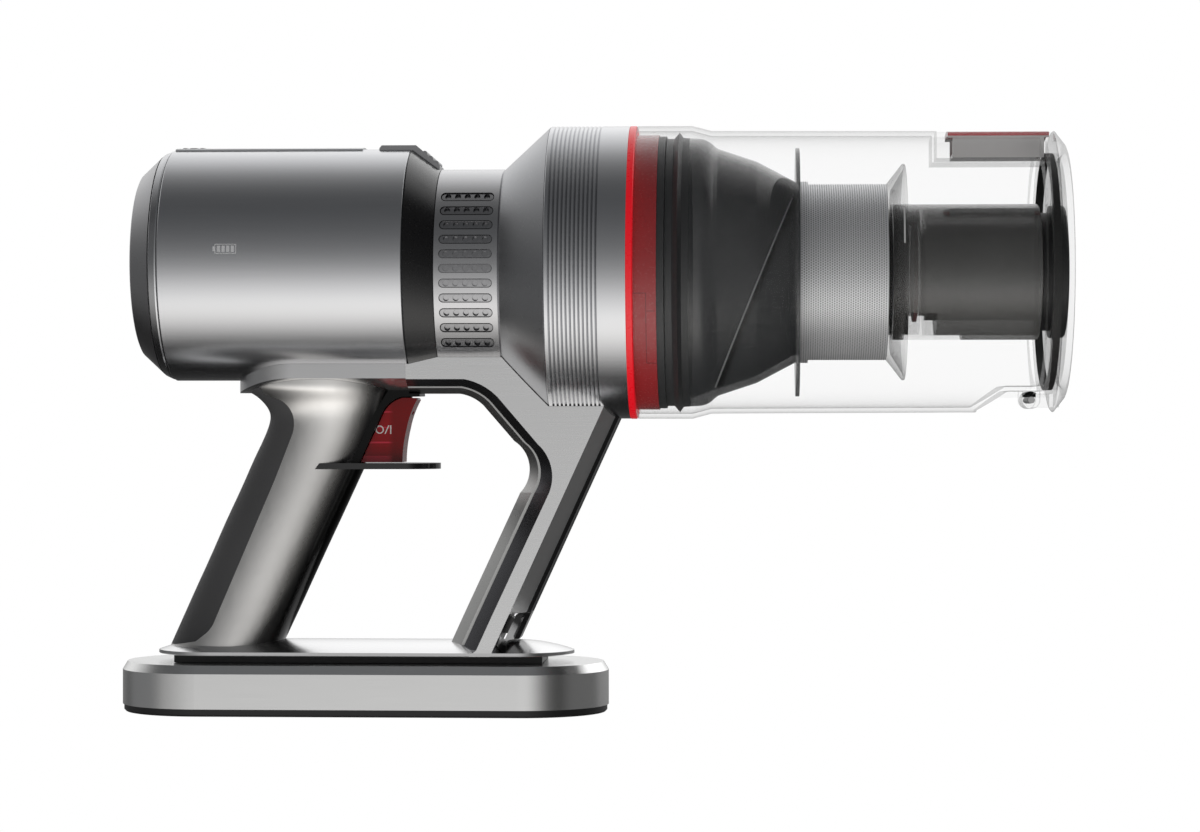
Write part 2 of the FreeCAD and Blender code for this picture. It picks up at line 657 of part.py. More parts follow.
def build_motor():
    """The fan motor: can, stator, two bearings, rubber mounts, diffuser, rotor and its board."""
    fit = D.bearing_fit
    back = D.can_back
    front = D.can_front
    can = turned("motor_can", [
        (back, D.bearing_radius), (back, D.can_radius), (front, D.can_radius),
        (front, D.bearing_radius), (front - D.bearing_length, D.bearing_radius),
        (front - D.bearing_length, D.bearing_radius + D.wall),
        (front - D.wall, D.bearing_radius + D.wall), (front - D.wall, D.can_radius - D.wall),
        (back + D.wall, D.can_radius - D.wall), (back + D.wall, D.bearing_radius + D.wall),
        (back + D.bearing_length, D.bearing_radius + D.wall),
        (back + D.bearing_length, D.bearing_radius)])
    bearings = [ring(f"bearing_{index}", place, place + D.bearing_length,
                     D.shaft_radius + fit, D.bearing_radius)
                for index, place in enumerate((back, front - D.bearing_length))]
    stator = new_body("motor_stator")
    rim = stator.newObject("PartDesign::Pad", "stator_rim")
    rim.Profile = draw_circles(stator, "YZ_Plane", [
        (AXIS, AXIS, D.stator_radius), (AXIS, AXIS, D.stator_radius - 5)], "rim")
    bind(rim, "Length", D.stator_front - D.stator_back)
    tooth = stator.newObject("PartDesign::Pad", "stator_tooth")
    half = 3.2
    tooth.Profile = draw(stator, "YZ_Plane", [
        (constant(-half), D.stator_bore + 1), (constant(half), D.stator_bore + 1),
        (constant(half), D.stator_radius - 4), (constant(-half), D.stator_radius - 4)], "tooth")
    bind(tooth, "Length", D.stator_front - D.stator_back)
    around("stator_teeth", tooth, stator, 6)
    move(stator, D.stator_back, 0, D.front_axis)
    rear_mount = ring("mount_rear", back + 4, back + 9, D.can_radius, D.neck_radius - D.wall * 2)
    front_mount = ring("mount_front", front - 7, front - 3, D.can_radius,
                       D.housing_radius - D.wall - 8)
    front_mount_fit = overlap("mount_front_fit", front_mount, ring(
        "mount_limit", D.housing_back + 0.5, front, D.can_radius, D.housing_radius))
    shaft = rod("motor_shaft", "x", (D.shaft_back, 0, D.front_axis),
                D.shaft_front - D.shaft_back, D.shaft_radius)
    magnet = ring("rotor_magnet", D.stator_back, D.stator_front, D.shaft_radius, D.magnet_radius)
    hub = turned("impeller", [
        (D.impeller_back, D.shaft_radius), (D.impeller_back, D.impeller_radius),
        (D.impeller_back + 1.4, D.impeller_radius), (D.impeller_front, 9.0),
        (D.impeller_front, D.shaft_radius)])
    blade = hub.newObject("PartDesign::Pad", "impeller_blade")
    blade.Profile = draw(hub, "YZ_Plane", [
        (constant(-0.6), constant(7.0)), (constant(0.6), constant(7.0)),
        (constant(10.0), D.impeller_radius - 3.5), (constant(8.4), D.impeller_radius - 3.0)],
        "blade", height=D.impeller_back + 0.5)
    bind(blade, "Length", D.impeller_front - D.impeller_back + 1.5)
    around("impeller_blades", blade, hub, D.blade_count)
    eye = 13.0
    face = D.impeller_front + 3.2
    rim = D.seat_radius - D.wall - 0.2
    shroud = D.impeller_radius + 2
    diffuser = turned("diffuser", [
        (face, constant(eye)), (face + 1.5, constant(eye)), (face + 1.5, rim), (D.can_front + 1, rim),
        (D.can_front + 1, rim - 1.8), (face, rim - 1.8), (face, shroud + 1.8),
        (D.impeller_back + 0.5, shroud + 1.8), (D.impeller_back + 0.5, shroud), (face - 0.6, shroud - 0.8),
        (face, shroud - 3)])
    board = ring("control_board", D.barrel_front + 1.5, D.barrel_front + 3.1, constant(9.0),
                 constant(34.0), D.front_axis)
    keep(can, join("motor_bearings", *bearings), stator,
         join("motor_mounts", rear_mount, front_mount_fit), shaft, magnet, hub, diffuser, board)


# ---------------------------------------------------------------- cyclone, shroud and inlet

def build_cyclone():
    """Everything that stays on the body when the bin comes off."""
    wall = D.wall
    front_of_seat = D.seat_front
    filter_cone = turned("pre_filter", [
        (D.impeller_front + 6, constant(20.0)), (D.impeller_front + 6, D.seat_radius - wall - 3),
        (front_of_seat - 3, D.seat_radius - wall - 6), (front_of_seat + 8, constant(30.0)),
        (front_of_seat + 8, constant(20.0))])
    seal = turned("lip_seal", [
        (front_of_seat, D.seal_radius - 3), (front_of_seat, D.seal_radius + 0.6),
        (front_of_seat + 3, D.seal_radius + 0.6), (front_of_seat + 3.4, D.seal_radius - 0.4),
        (front_of_seat + 6.2, D.seal_radius - 0.4), (front_of_seat + 8.4, D.lip_radius),
        (front_of_seat + 10.0, D.seal_radius), (D.seal_front, D.seal_radius - 0.2),
        (D.seal_front, D.seal_radius - 3)])
    thick = 2.4
    half_way = (D.shoulder_x + D.cone_front) / 2
    belly = (D.shoulder_radius + D.cone_radius) / 2 + 1.6
    body = turned("cyclone_body", [
        (D.seal_front, D.seal_radius - thick - 1), (D.seal_front, D.seal_radius - 0.2),
        (D.seal_front + 4, D.seal_radius - 0.4), (D.shoulder_x - 1.6, D.shoulder_radius + 1.2, 9.0),
        (D.shoulder_x, D.shoulder_radius), (half_way, belly), (D.cone_front, D.cone_radius),
        (D.cone_front, D.flange_radius), (D.cone_front + D.flange_thick, D.flange_radius),
        (D.cone_front + D.flange_thick, D.shroud_radius - 2),
        (D.cone_front - 1, D.shroud_radius - 2), (half_way - 1, belly - thick),
        (D.shoulder_x - 2, D.shoulder_radius - thick)])
    shroud = turned("mesh_shroud", [
        (D.cone_front + D.flange_thick, D.shroud_radius - 1.2),
        (D.cone_front + D.flange_thick, D.shroud_radius + 1.2),
        (D.shroud_back + 2.6, D.shroud_radius + 1.2), (D.shroud_back + 2.6, D.shroud_radius),
        (D.shroud_front, D.shroud_radius), (D.shroud_front, D.shroud_radius - 1.2)])
    skirt = turned("shroud_skirt", [
        (D.shroud_front, D.socket_radius + 8), (D.shroud_front, D.shroud_radius),
        (D.skirt_front - 1, D.skirt_radius), (D.skirt_front, D.skirt_radius),
        (D.skirt_front, D.skirt_radius - 1.4), (D.shroud_front + 2, D.shroud_radius - 2.2),
        (D.shroud_front + 2, D.socket_radius + 8)])
    throat = D.socket_radius + D.socket_wall
    tube = turned("inlet_walls", [
        (D.shroud_front + 2, D.socket_radius + 8), (D.shroud_front + 2, D.tube_radius),
        (D.tube_front, D.tube_radius), (D.tube_front, D.tube_radius - 1.8),
        (D.flap_x + 3.4, D.tube_radius - 1.8), (D.flap_x + 3.4, throat),
        (D.tube_front - 1, throat), (D.tube_front - 1, D.socket_radius),
        (D.flap_x + 1.4, D.socket_radius), (D.flap_x + 1.4, D.socket_radius + 8)])
    flap_radius = D.socket_radius + 2.6
    pin_x = D.flap_x - 0.8
    pin_z = D.front_axis + flap_radius + 0.6
    disc = rod("flap_disc", "x", (D.flap_x - 1.2, 0, D.front_axis), constant(1.6), flap_radius)
    knuckle = rod("flap_knuckle", "y", (pin_x, -7, pin_z), constant(14.0), 1.8)
    arm = box("flap_arm", (D.flap_x - 1.2, D.flap_x + 0.4), (-6, 6),
              (D.front_axis + D.socket_radius - 2, pin_z))
    flap_bore = rod("flap_bore", "y", (pin_x, -8, pin_z), constant(16.0), 0.8 + DIMENSIONS["bearing_fit"])
    ears = [box(f"flap_ear_{side}", (D.flap_x - 2.6, D.flap_x + 2), (low, low + 1.8),
                (pin_z - 1.0, D.front_axis + D.socket_radius + 7))
            for side, low in (("near", -11.3), ("far", 9.5))]
    pin = rod("flap_pin", "y", (pin_x, -10.6, pin_z), constant(21.2), 0.8)
    keep(filter_cone, seal, body, shroud, skirt, join("inlet_tube", tube, pin, *ears),
         cut("inlet_flap", join("inlet_flap_blank", disc, knuckle, arm), flap_bore))


# ---------------------------------------------------------------- clear bin and door

def build_bin():
    """The clear bin with its hinge notch and latch pocket, and the door on its pin."""
    wall = 2.0
    tube = turned("bin_tube", [
        (D.red_ring_front + D.gap, D.housing_radius - wall),
        (D.red_ring_front + D.gap, D.housing_radius), (D.bin_step_back, D.housing_radius),
        (D.bin_step_front, D.bin_radius), (D.bin_front, D.bin_front_radius),
        (D.bin_front, D.bin_front_radius - wall), (D.seal_seat, D.bin_front_radius - wall),
        (D.seal_seat, D.bin_lip_radius), (D.bin_lip_back, D.bin_lip_radius),
        (D.bin_lip_back, D.bin_front_radius - wall),
        (D.bin_step_front, D.bin_radius - wall), (D.bin_step_back, D.housing_radius - wall)])
    bulk = turned("bin_bulk", [
        (D.notch_back - 3, D.bin_lip_radius - 1), (D.notch_back - 3, D.bin_front_radius - 0.2),
        (D.bin_front, D.bin_front_radius - 0.2), (D.bin_front, D.bin_lip_radius - 1)])
    half = D.notch_half_width
    floor = D.notch_floor
    low = D.front_axis - D.bin_radius - BURIED
    gusset = plate("hinge_gusset", [
        (D.notch_back - 2.6, low), (D.seal_seat, low), (D.seal_seat, floor + wall),
        (D.notch_bend - 1, floor + wall), (D.notch_back - 2.6, floor - 7)], half + wall)
    notch = plate("hinge_notch", [
        (D.notch_back, low), (D.bin_front + 1, low), (D.bin_front + 1, floor),
        (D.notch_bend, floor), (D.notch_back, floor - 8)], half)
    pocket_floor = D.latch_pocket_floor
    high = D.front_axis + D.bin_radius + BURIED
    latch_half = D.latch_half_width + D.gap
    pocket_back = D.latch_back - D.latch_travel - 0.6
    shelf = box("latch_shelf", (pocket_back - wall, D.seal_seat), (-latch_half - wall, latch_half + wall),
                (pocket_floor - wall, high))
    pocket = box("latch_pocket", (pocket_back, D.bin_front + 1), (-latch_half, latch_half),
                 (pocket_floor, high))
    wide_bulk = turned("latch_bulk", [
        (pocket_back - wall, D.bin_lip_radius - 4), (pocket_back - wall, D.bin_front_radius - 0.1),
        (D.bin_front, D.bin_front_radius - 0.1), (D.bin_front, D.bin_lip_radius - 4)])
    walls = join("bin_walls", tube, overlap("gusset_fit", gusset, bulk),
                 overlap("shelf_fit", shelf, wide_bulk))
    ears = []
    for side, place in (("near", -13.0), ("far", 9.0)):
        ear = plate(f"ear_{side}", [
            (D.pin_x - D.ear_radius, D.pin_z), (D.pin_x, D.pin_z - D.ear_radius, -D.ear_radius),
            (D.pin_x + D.ear_radius, D.pin_z, -D.ear_radius),
            (D.pin_x + D.ear_radius, floor + 0.5), (D.pin_x - D.ear_radius, floor + 0.5)],
            constant(2.0))
        move(ear, y=place + 2.0)
        ears.append(ear)
    pin_hole = rod("bin_pin_hole", "y", (D.pin_x, -14, D.pin_z), constant(28.0), D.pin_radius)
    body = cut("dust_bin", join("bin_body", cut("bin_open", walls, notch, pocket), *ears), pin_hole)
    pin = rod("hinge_pin", "y", (D.pin_x, -13, D.pin_z), constant(26.0), D.pin_radius)

    face = D.bin_front + D.gap
    door_disc = turned("door_disc", [
        (face, D.collar_radius), (face, D.bin_front_radius - 0.6),
        (face + 0.6, D.bin_front_radius), (D.door_front - 0.4, D.door_face_radius + 1.0),
        (D.door_front, D.door_face_radius), (D.door_front, D.door_face_radius - 3.0),
        (D.door_front - 2.2, D.door_face_radius - 5.0), (D.door_front - 2.2, D.collar_radius)])
    knuckle = rod("door_knuckle", "y", (D.pin_x, -8.6, D.pin_z), constant(17.2), D.ear_radius)
    arm = plate("door_arm", [
        (D.pin_x, D.pin_z - D.ear_radius + 0.6), (D.door_front - 2.6, D.pin_z - D.ear_radius + 0.6),
        (D.door_front - 2.6, D.pin_z + 2.6), (D.pin_x, D.pin_z + 2.6)], constant(8.6))
    door_hole = rod("door_pin_hole", "y", (D.pin_x, -9, D.pin_z), constant(18.0),
                    D.pin_radius + D.bearing_fit)
    door = cut("bin_door", join("door_body", door_disc, knuckle, arm), door_hole)
    seal = ring("door_seal", D.seal_seat + D.gap, face, D.bin_lip_radius + 0.4, D.door_seal_radius - 1)
    socket = turned("inlet_collar", [
        (D.collar_back, D.collar_socket_radius), (D.collar_back, D.collar_radius - 3.0),
        (face - 1, D.collar_radius - 3.0), (face - 1, D.collar_radius),
        (D.door_front - 0.6, D.collar_radius), (D.door_front, D.collar_radius - 0.6),
        (D.door_front, D.collar_socket_radius + 0.8), (D.door_front - 0.8, D.collar_socket_radius)])
    latch_top = ring("latch_top", D.latch_back, D.latch_front, D.bin_front_radius - 2.2,
                     D.bin_front_radius)
    latch_bar = box("latch_bar", (D.latch_back, D.latch_front),
                    (-D.latch_half_width, D.latch_half_width), (D.front_axis, high))
    rails = [box(f"latch_rail_{side}", (D.latch_back + 2, D.seal_seat - 0.2), (low_y, low_y + 1.8),
                 (pocket_floor + D.gap, D.front_axis + D.bin_front_radius - 3))
             for side, low_y in (("near", -D.latch_half_width + 0.6), ("far", D.latch_half_width - 2.4))]
    web = box("latch_web", (D.latch_back + 2, D.latch_front - 4),
              (-D.latch_half_width + 0.6, D.latch_half_width - 0.6),
              (pocket_floor + D.gap, pocket_floor + 1.7))
    latch = join("door_latch", overlap("latch_skin", latch_top, latch_bar), *rails, web)
    keep(body, pin, door, seal, socket, latch)


# ---------------------------------------------------------------- ring handle and foot

def capsule(name, back, front, half_profile):
    """A round-ended slab: a half profile of (y, z) corners run between two centres and round them."""
    across = [tuple(corner) for corner in half_profile]
    other_side = []
    for index in range(len(half_profile) - 1, -1, -1):
        corner = half_profile[index]
        if plain(corner[0]) == 0:
            continue
        following = half_profile[index + 1] if index + 1 < len(half_profile) else (0, 0)
        other_side.append((-corner[0], corner[1]) + tuple(following[2:]))
    last = half_profile[-1]
    first = half_profile[0]
    if plain(first[0]) == 0 and len(half_profile[1]) > 2:
        across[0] = (first[0], first[1], half_profile[1][2])
    middle = new_body(name + "_middle")
    section = draw(middle, "YZ_Plane", across + other_side, height=back)
    run = middle.newObject("PartDesign::Pad", name + "_run")
    run.Profile = section
    bind(run, "Length", front - back)
    ends = []
    for side, centre in (("back", back), ("front", front)):
        end = new_body(f"{name}_{side}")
        corners = half_profile if plain(last[0]) == 0 else half_profile + [(AXIS, last[1])]
        profile = draw(end, "XZ_Plane", corners)
        turn = end.newObject("PartDesign::Revolution", f"{name}_{side}_turn")
        turn.Profile = profile
        turn.ReferenceAxis = (profile, ["V_Axis"])
        turn.Angle = 360
        move(end, x=centre)
        ends.append(end)
    return join(name, middle, *ends)


def sheared(name, corners, low, high):
    """A section of (x, y) corners at height low, run upwards along the strut's lean."""
    part = new_body(name)
    profile = draw(part, "XY_Plane", corners, height=low)
    feature = part.newObject("PartDesign::Pad", name + "_pad")
    feature.Profile = profile
    feature.UseCustomVector = True
    feature.Direction = FreeCAD.Vector(DIMENSIONS["lean"], 0, 1)
    feature.setExpression("Direction.x", D.lean.formula)
    feature.AlongSketchNormal = True
    bind(feature, "Length", high - low)
    return part


def opening_cutter(name):
    """The space inside the ring handle, narrower at its edges than through its middle."""
    part = new_body(name)
    left = D.saddle_front - BURIED
    foot_z = D.plate_bottom - 4
    foot = 27.0

    def section(offset, rail, bend, knee, elbow, waist, foot_x):
        return draw(part, "XZ_Plane", [
            (left, rail), (bend, rail), (bend + knee[0], rail + knee[1], knee[2]),
            (bend + elbow[0], rail + elbow[1]), (bend + waist[0], rail + waist[1], waist[2]),
            (foot_x + D.lean * 13, constant(foot) + 13), (foot_x, constant(foot)),
            (foot_x - 8, foot_z), (left, foot_z)],
            "section_" + offset.replace("-", "m").replace(".", "_"), height=constant(float(offset)))

    sections = []
    for offset in ("-24.8", "-8", "8", "24.8"):
        if abs(float(offset)) > 20:
            sections.append(section(offset, D.rail_face_low, D.rail_face_bend_x, (14.1, -7.6, 26.0),
                                    (30.7, -27.0), (35.3, -47.2, 18.0), D.strut_face_foot_x))
        else:
            sections.append(section(offset, D.rail_low, D.rail_bend_x, (10.5, -4.9, 18.0),
                                    (23.5, -19.9), (26.0, -41.4, 14.0), D.strut_foot_x))
    feature = part.newObject("PartDesign::AdditiveLoft", name + "_loft")
    feature.Profile = sections[0]
    feature.Sections = sections[1:]
    feature.Ruled = True
    return part


def build_handle(foot_plate):
    """The saddle under the barrel, the leaning strut with its covers, and the battery catch."""
    half = D.handle_half_width
    nose = D.nose_tip + half
    plan = slab("saddle_plan", [
        (nose, -half, -half), (D.saddle_front, -half), (D.saddle_front, half), (nose, half),
        (D.nose_tip, AXIS, -half)], D.rail_low - 1, D.rear_axis)
    band = ring("saddle_band", D.nose_tip - 1, D.saddle_front, D.barrel_radius + SKIN,
                D.saddle_radius, D.rear_axis)
    keep(overlap("saddle", band, plan))

    seam_z = D.plate_bottom + 0.2
    top = D.rear_axis - 39
    seam_low = D.front_x - D.seam_inset - D.lean * (D.front_z - seam_z)
    seam_high = D.front_x - D.seam_inset + D.lean * (top - D.front_z)
    blank = plate("frame_blank", [
        (D.saddle_front, top), (D.saddle_front, seam_z), (seam_low, seam_z), (seam_high, top)],
        half - 0.05)
    opening = opening_cutter("opening_cutter")
    core_half = D.core_half_width
    reach = (D.saddle_front - 5, D.housing_front + BURIED)
    heights = (seam_z, top)
    side = overlap("side_blank", blank, box("side_limit", reach, (-half - 1, -core_half), heights))
    left = cut("frame_left", side, opening, envelope, foot_plate)
    middle = overlap("core_blank", blank, box(
        "core_limit", reach, (-core_half, core_half), heights))
    pocket = box("catch_pocket", (D.strut_face_foot_x, D.front_x), (-4.3, 4.3),
                 (D.latch_low + 1.7, D.latch_high - 1.7))
    sunk = opening_cutter("groove_cutter")
    move(sunk, D.groove_sink * 2, 0, D.groove_sink)
    grooves = [overlap(f"groove_{side}", sunk, box(f"groove_limit_{side}", reach, across, heights))
               for side, across in (("near", (-core_half, -D.groove_inner)),
                                    ("far", (D.groove_inner, core_half)))]
    keep(left, mirrored("frame_right", left),
         cut("frame_core", middle, opening, envelope, foot_plate, pocket, *grooves))

    front = D.front_x + D.lean * (D.arch_z - D.front_z)
    seam = front - D.seam_inset
    wide = half - 0.15
    narrow = D.bevel_half_width
    bevel = front - D.bevel_inset
    cover = sheared("cover_blank", [
        (seam, wide), (bevel, narrow), (seam + 1.6, narrow), (seam + 1.6, -narrow),
        (bevel, -narrow), (seam, -wide)], D.arch_z, D.front_axis - 52)
    nose_blank = sheared("nose_blank", [
        (seam + 1.6, narrow), (bevel, narrow), (front - 0.8, narrow - 1.6),
        (front, constant(0), -40.0), (front - 0.8, 1.6 - narrow, -40.0), (bevel, -narrow),
        (seam + 1.6, -narrow)], D.arch_z, D.front_axis - 52)
    keep(cut("strut_cover", cover, envelope), cut("strut_nose", nose_blank, envelope))

    front = D.front_x + D.lean * (D.latch_low - D.front_z)
    seam = front - D.seam_inset
    button = sheared("catch_button", [
        (seam + 2.8, half - 3.4), (front - D.bevel_inset, narrow), (front - 0.4, narrow - 1.6),
        (front - 0.4, 1.6 - narrow), (front - D.bevel_inset, -narrow),
        (seam + 2.8, 3.4 - half)], D.latch_low, D.latch_high)
    stem = box("catch_stem", (D.strut_face_foot_x + 4.0, front - 3), (-4, 4),
               (D.latch_low + 2, D.latch_high - 2))
    keep(join("battery_latch", button, stem))


def build_foot_plate():
    """The crowned, round-ended plate that ties the grip and the strut together, and its dock."""
    half = D.plate_half_width
    rise = D.plate_crown - D.plate_edge
    crown = (half * half + rise * rise) / (rise * 2)
    foot = capsule("foot_plate", D.plate_back + half, D.plate_front - half, [
        (AXIS, D.plate_bottom), (half - 0.3, D.plate_bottom), (half, D.plate_bottom + 0.3),
        (half, D.plate_edge), (AXIS, D.plate_crown, -crown)])
    dock = box("dock_block", (D.dock_back, D.dock_front), (-D.dock_half_width, D.dock_half_width),
               (D.base_top + 0.2, D.plate_bottom))
    dock.Label = "dock_block"
    keep(foot, dock)
    return foot


# ---------------------------------------------------------------- grip and trigger

def oval(name, height, centre, length, width):
    """A level ellipse, as a loft section; length runs along X."""
    ellipse = document.addObject("Part::Ellipse", name)
    if length >= width:
        bind(ellipse, "MajorRadius", constant(length))
        bind(ellipse, "MinorRadius", constant(width))
    else:
        bind(ellipse, "MajorRadius", constant(width))
        bind(ellipse, "MinorRadius", constant(length))
    move(ellipse, centre, 0, height)
    return ellipse


GRIP_STATIONS = (
    (24.6, -60.2, 23.7, 18.0), (36.4, -54.8, 23.8, 17.7), (48.2, -49.4, 23.9, 17.4),
    (60.0, -44.0, 23.9, 17.3), (72.3, -38.4, 24.0, 17.3), (84.7, -32.7, 24.1, 17.3),
    (97.0, -27.0, 24.1, 17.3), (107.5, -22.2, 24.2, 17.4), (118.0, -17.4, 24.2, 17.8),
    (124.0, -15.5, 24.8, 18.4), (128.0, -15.3, 26.6, 19.5), (131.0, -15.9, 28.7, 21.0),
    (134.0, -17.4, 31.6, 23.0), (137.0, -18.2, 33.8, 24.0), (141.0, -17.5, 35.0, 24.6),
)


def grip_solid(name, inset):
    sections = [oval(f"{name}_oval_{index}", height, centre, length - inset, width - inset)
                for index, (height, centre, length, width) in enumerate(GRIP_STATIONS)]
    return loft(name, sections)


def build_grip(foot_plate):
    """The hollow grip in two halves with its rear pad, the finger shelf and the trigger's seat."""
    under_saddle = rod("saddle_clear", "x", (D.nose_tip - BURIED, 0, D.rear_axis), constant(120.0),
                       D.saddle_radius + SKIN)
    trigger_slot = box("trigger_slot", (-13, 32), (-D.trigger_room, D.trigger_room),
                       (D.shelf_low - 0.01, 136))
    housing_solid = plate("housing_solid", [
        (-9.0, D.shelf_top), (-1.4, D.shelf_top), (8.5, 125.8), (16.5, 132.1, 12.0), (24.0, 132.3),
        (24.0, 136.0), (4.0, 139.0), (-3.0, 132.0), (-9.0, 118.0)], D.trigger_room + 2.2)
    half = D.shelf_half_width
    root = D.shelf_root
    shelf = slab("finger_shelf", [
        (D.shelf_back, -root), (D.shelf_front - half, -half), (D.shelf_front, AXIS, -half),
        (D.shelf_front - half, half, -half), (D.shelf_back, root)], D.shelf_low, D.shelf_top)
    outline = plate("pad_outline", [
        (-41.7, 136.0), (-41.7, 133.4), (-33.7, 130.6), (-28.2, 122.0, 11.0), (-28.8, 116.5, 14.0),
        (-36.2, 97.4), (-61.4, 38.4), (-65.8, 32.6, 12.0), (-69.6, 29.7), (-79.5, 28.0),
        (-100.0, 28.0), (-100.0, 136.0)], constant(30.0))
    outer = grip_solid("grip_outer", 0)
    middle = grip_solid("grip_middle", DIMENSIONS["pad_skin"])
    inner = grip_solid("grip_inner", DIMENSIONS["grip_skin"])
    pad_blank = overlap("pad_blank", cut("pad_shell", outer, middle), outline)
    pad = cut("grip_pad", pad_blank, under_saddle, foot_plate)
    hollow = cut("grip_hollow", outer, inner, pad_blank, under_saddle, foot_plate, trigger_slot,
                 housing_solid, shelf)
    reach = (-110.0, 60.0)
    heights = (constant(20.0), constant(150.0))
    keep(pad, shelf, overlap("grip_left", hollow, box("grip_near", reach, (-30, 0), heights)),
         overlap("grip_right", hollow, box("grip_far", reach, (0, 30), heights)))

    pin_x = D.trigger_pin_x
    pin_z = D.trigger_pin_z
    pin_half = D.trigger_half_width - 2
    room = box("trigger_cavity", (-10, 32), (-D.trigger_room, D.trigger_room), (D.shelf_low, 132.3))
    rail_clear = box("rail_clear", (D.saddle_front, 30), (-30, 30), (D.rail_low, 141))
    lug = box("trigger_lug", (pin_x - 2.2, pin_x + 2.2), (-2.2, 2.2), (pin_z - 2.2, 133))
    pin_hole = rod("housing_pin_hole", "y", (pin_x, -3, pin_z), constant(6.0), D.trigger_pin_radius)
    shell = cut("housing_shell", housing_solid, room, under_saddle, rail_clear)
    keep(cut("trigger_housing", join("housing_blank", shell, lug), pin_hole))
    pin = rod("trigger_pin", "y", (pin_x, -pin_half, pin_z), pin_half * 2, D.trigger_pin_radius)
    pin.Label = "trigger_pin"
    lever = plate("trigger_blank", [
        (-1.0, D.trigger_low), (16.5, D.trigger_low), (18.3, 118.9, 60.0), (22.6, 130.8, 40.0),
        (22.2, 131.6), (16.7, 131.6), (8.8, 125.6, -12.0)], D.trigger_half_width)
    spring_boss = box("trigger_boss", (-3.0, 3.0), (-3.2, 3.2), (105.6, 111.6))
    lug_slot = box("trigger_lug_slot", (pin_x - 3.0, pin_x + 2.9), (-2.7, 2.7), (pin_z - 3.2, 134))
    lever_hole = rod("trigger_pin_bore", "y", (pin_x, -pin_half - 0.2, pin_z), pin_half * 2 + 0.4,
                     D.trigger_pin_radius + D.bearing_fit)
    keep(pin, cut("trigger", join("trigger_lever", lever, spring_boss), lug_slot, lever_hole))
    switch = box("trigger_switch", (-18.5, -12.0), (-6, 6), (D.shelf_top, 117.0))
    switch.Label = "trigger_switch"
    keep(switch, coil("trigger_spring", 1.9, constant(9.0), (-12.0, 0, 108.6), "x"))


# ---------------------------------------------------------------- battery base

def build_battery():
    """The battery that is also the stand: tray, shell and eight cells."""
    centre = D.base_half_length - D.base_half_width
    half = D.base_half_width
    chamfer = D.tray_chamfer
    tray = cut("battery_tray", capsule("tray_outer", -centre, centre, [
        (AXIS, AXIS), (half - 0.6 - chamfer, AXIS), (half - 0.6, AXIS + chamfer),
        (half - 0.6, D.tray_height), (AXIS, D.tray_height)]),
        capsule("tray_cavity", -centre, centre, [
            (AXIS, D.cell_z - D.cell_radius), (half - 3.2, D.cell_z - D.cell_radius),
            (half - 3.2, D.tray_height + 1), (AXIS, D.tray_height + 1)]))
    roof = D.base_top - D.base_roof
    shell = cut("battery_shell", capsule("shell_outer", -centre, centre, [
        (AXIS, D.tray_height), (half, D.tray_height), (half, D.base_shoulder),
        (half - D.base_chamfer, D.base_top), (AXIS, D.base_top)]),
        capsule("shell_cavity", -centre, centre, [
            (AXIS, D.tray_height - 1), (half - 2.4, D.tray_height - 1),
            (half - 2.4, D.base_shoulder), (half - 2.4 - D.base_chamfer / 2, roof), (AXIS, roof)]))
    spread = (DIMENSIONS["cell_count"] - 1) / 2
    cells = []
    for index in range(DIMENSIONS["cell_count"]):
        cells.append(rod(f"cell_{index}", "y",
                         (D.cell_pitch * (index - spread), -D.cell_length / 2, D.cell_z),
                         D.cell_length, D.cell_radius))
    keep(tray, shell, join("battery_cells", *cells))


# ---------------------------------------------------------------- assembly and export

barrel_inner, catch_hole = build_barrel()
build_filter(barrel_inner)
build_buttons(catch_hole)
build_collar_and_neck(catch_hole)
build_housing()
build_motor()
build_cyclone()
build_bin()
plate_under = build_foot_plate()
build_handle(plate_under)
build_grip(plate_under)
build_battery()
document.recompute()

for item in document.Objects:
    if "Invalid" in item.State or "Error" in item.State:
        raise RuntimeError(f"{item.Name} did not recompute: {item.State}")
for item in parts:
    if item.Shape.isNull() or not item.Shape.isValid():
        raise RuntimeError(f"{item.Label} has no valid shape")

os.makedirs("parts", exist_ok=True)
for item in parts:
    item.Shape.exportStep(f"parts/{item.Label}.step")
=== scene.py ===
"""Handheld vacuum cleaner: materials, markings, spring coils copied from the CAD, studio light and camera."""

import math

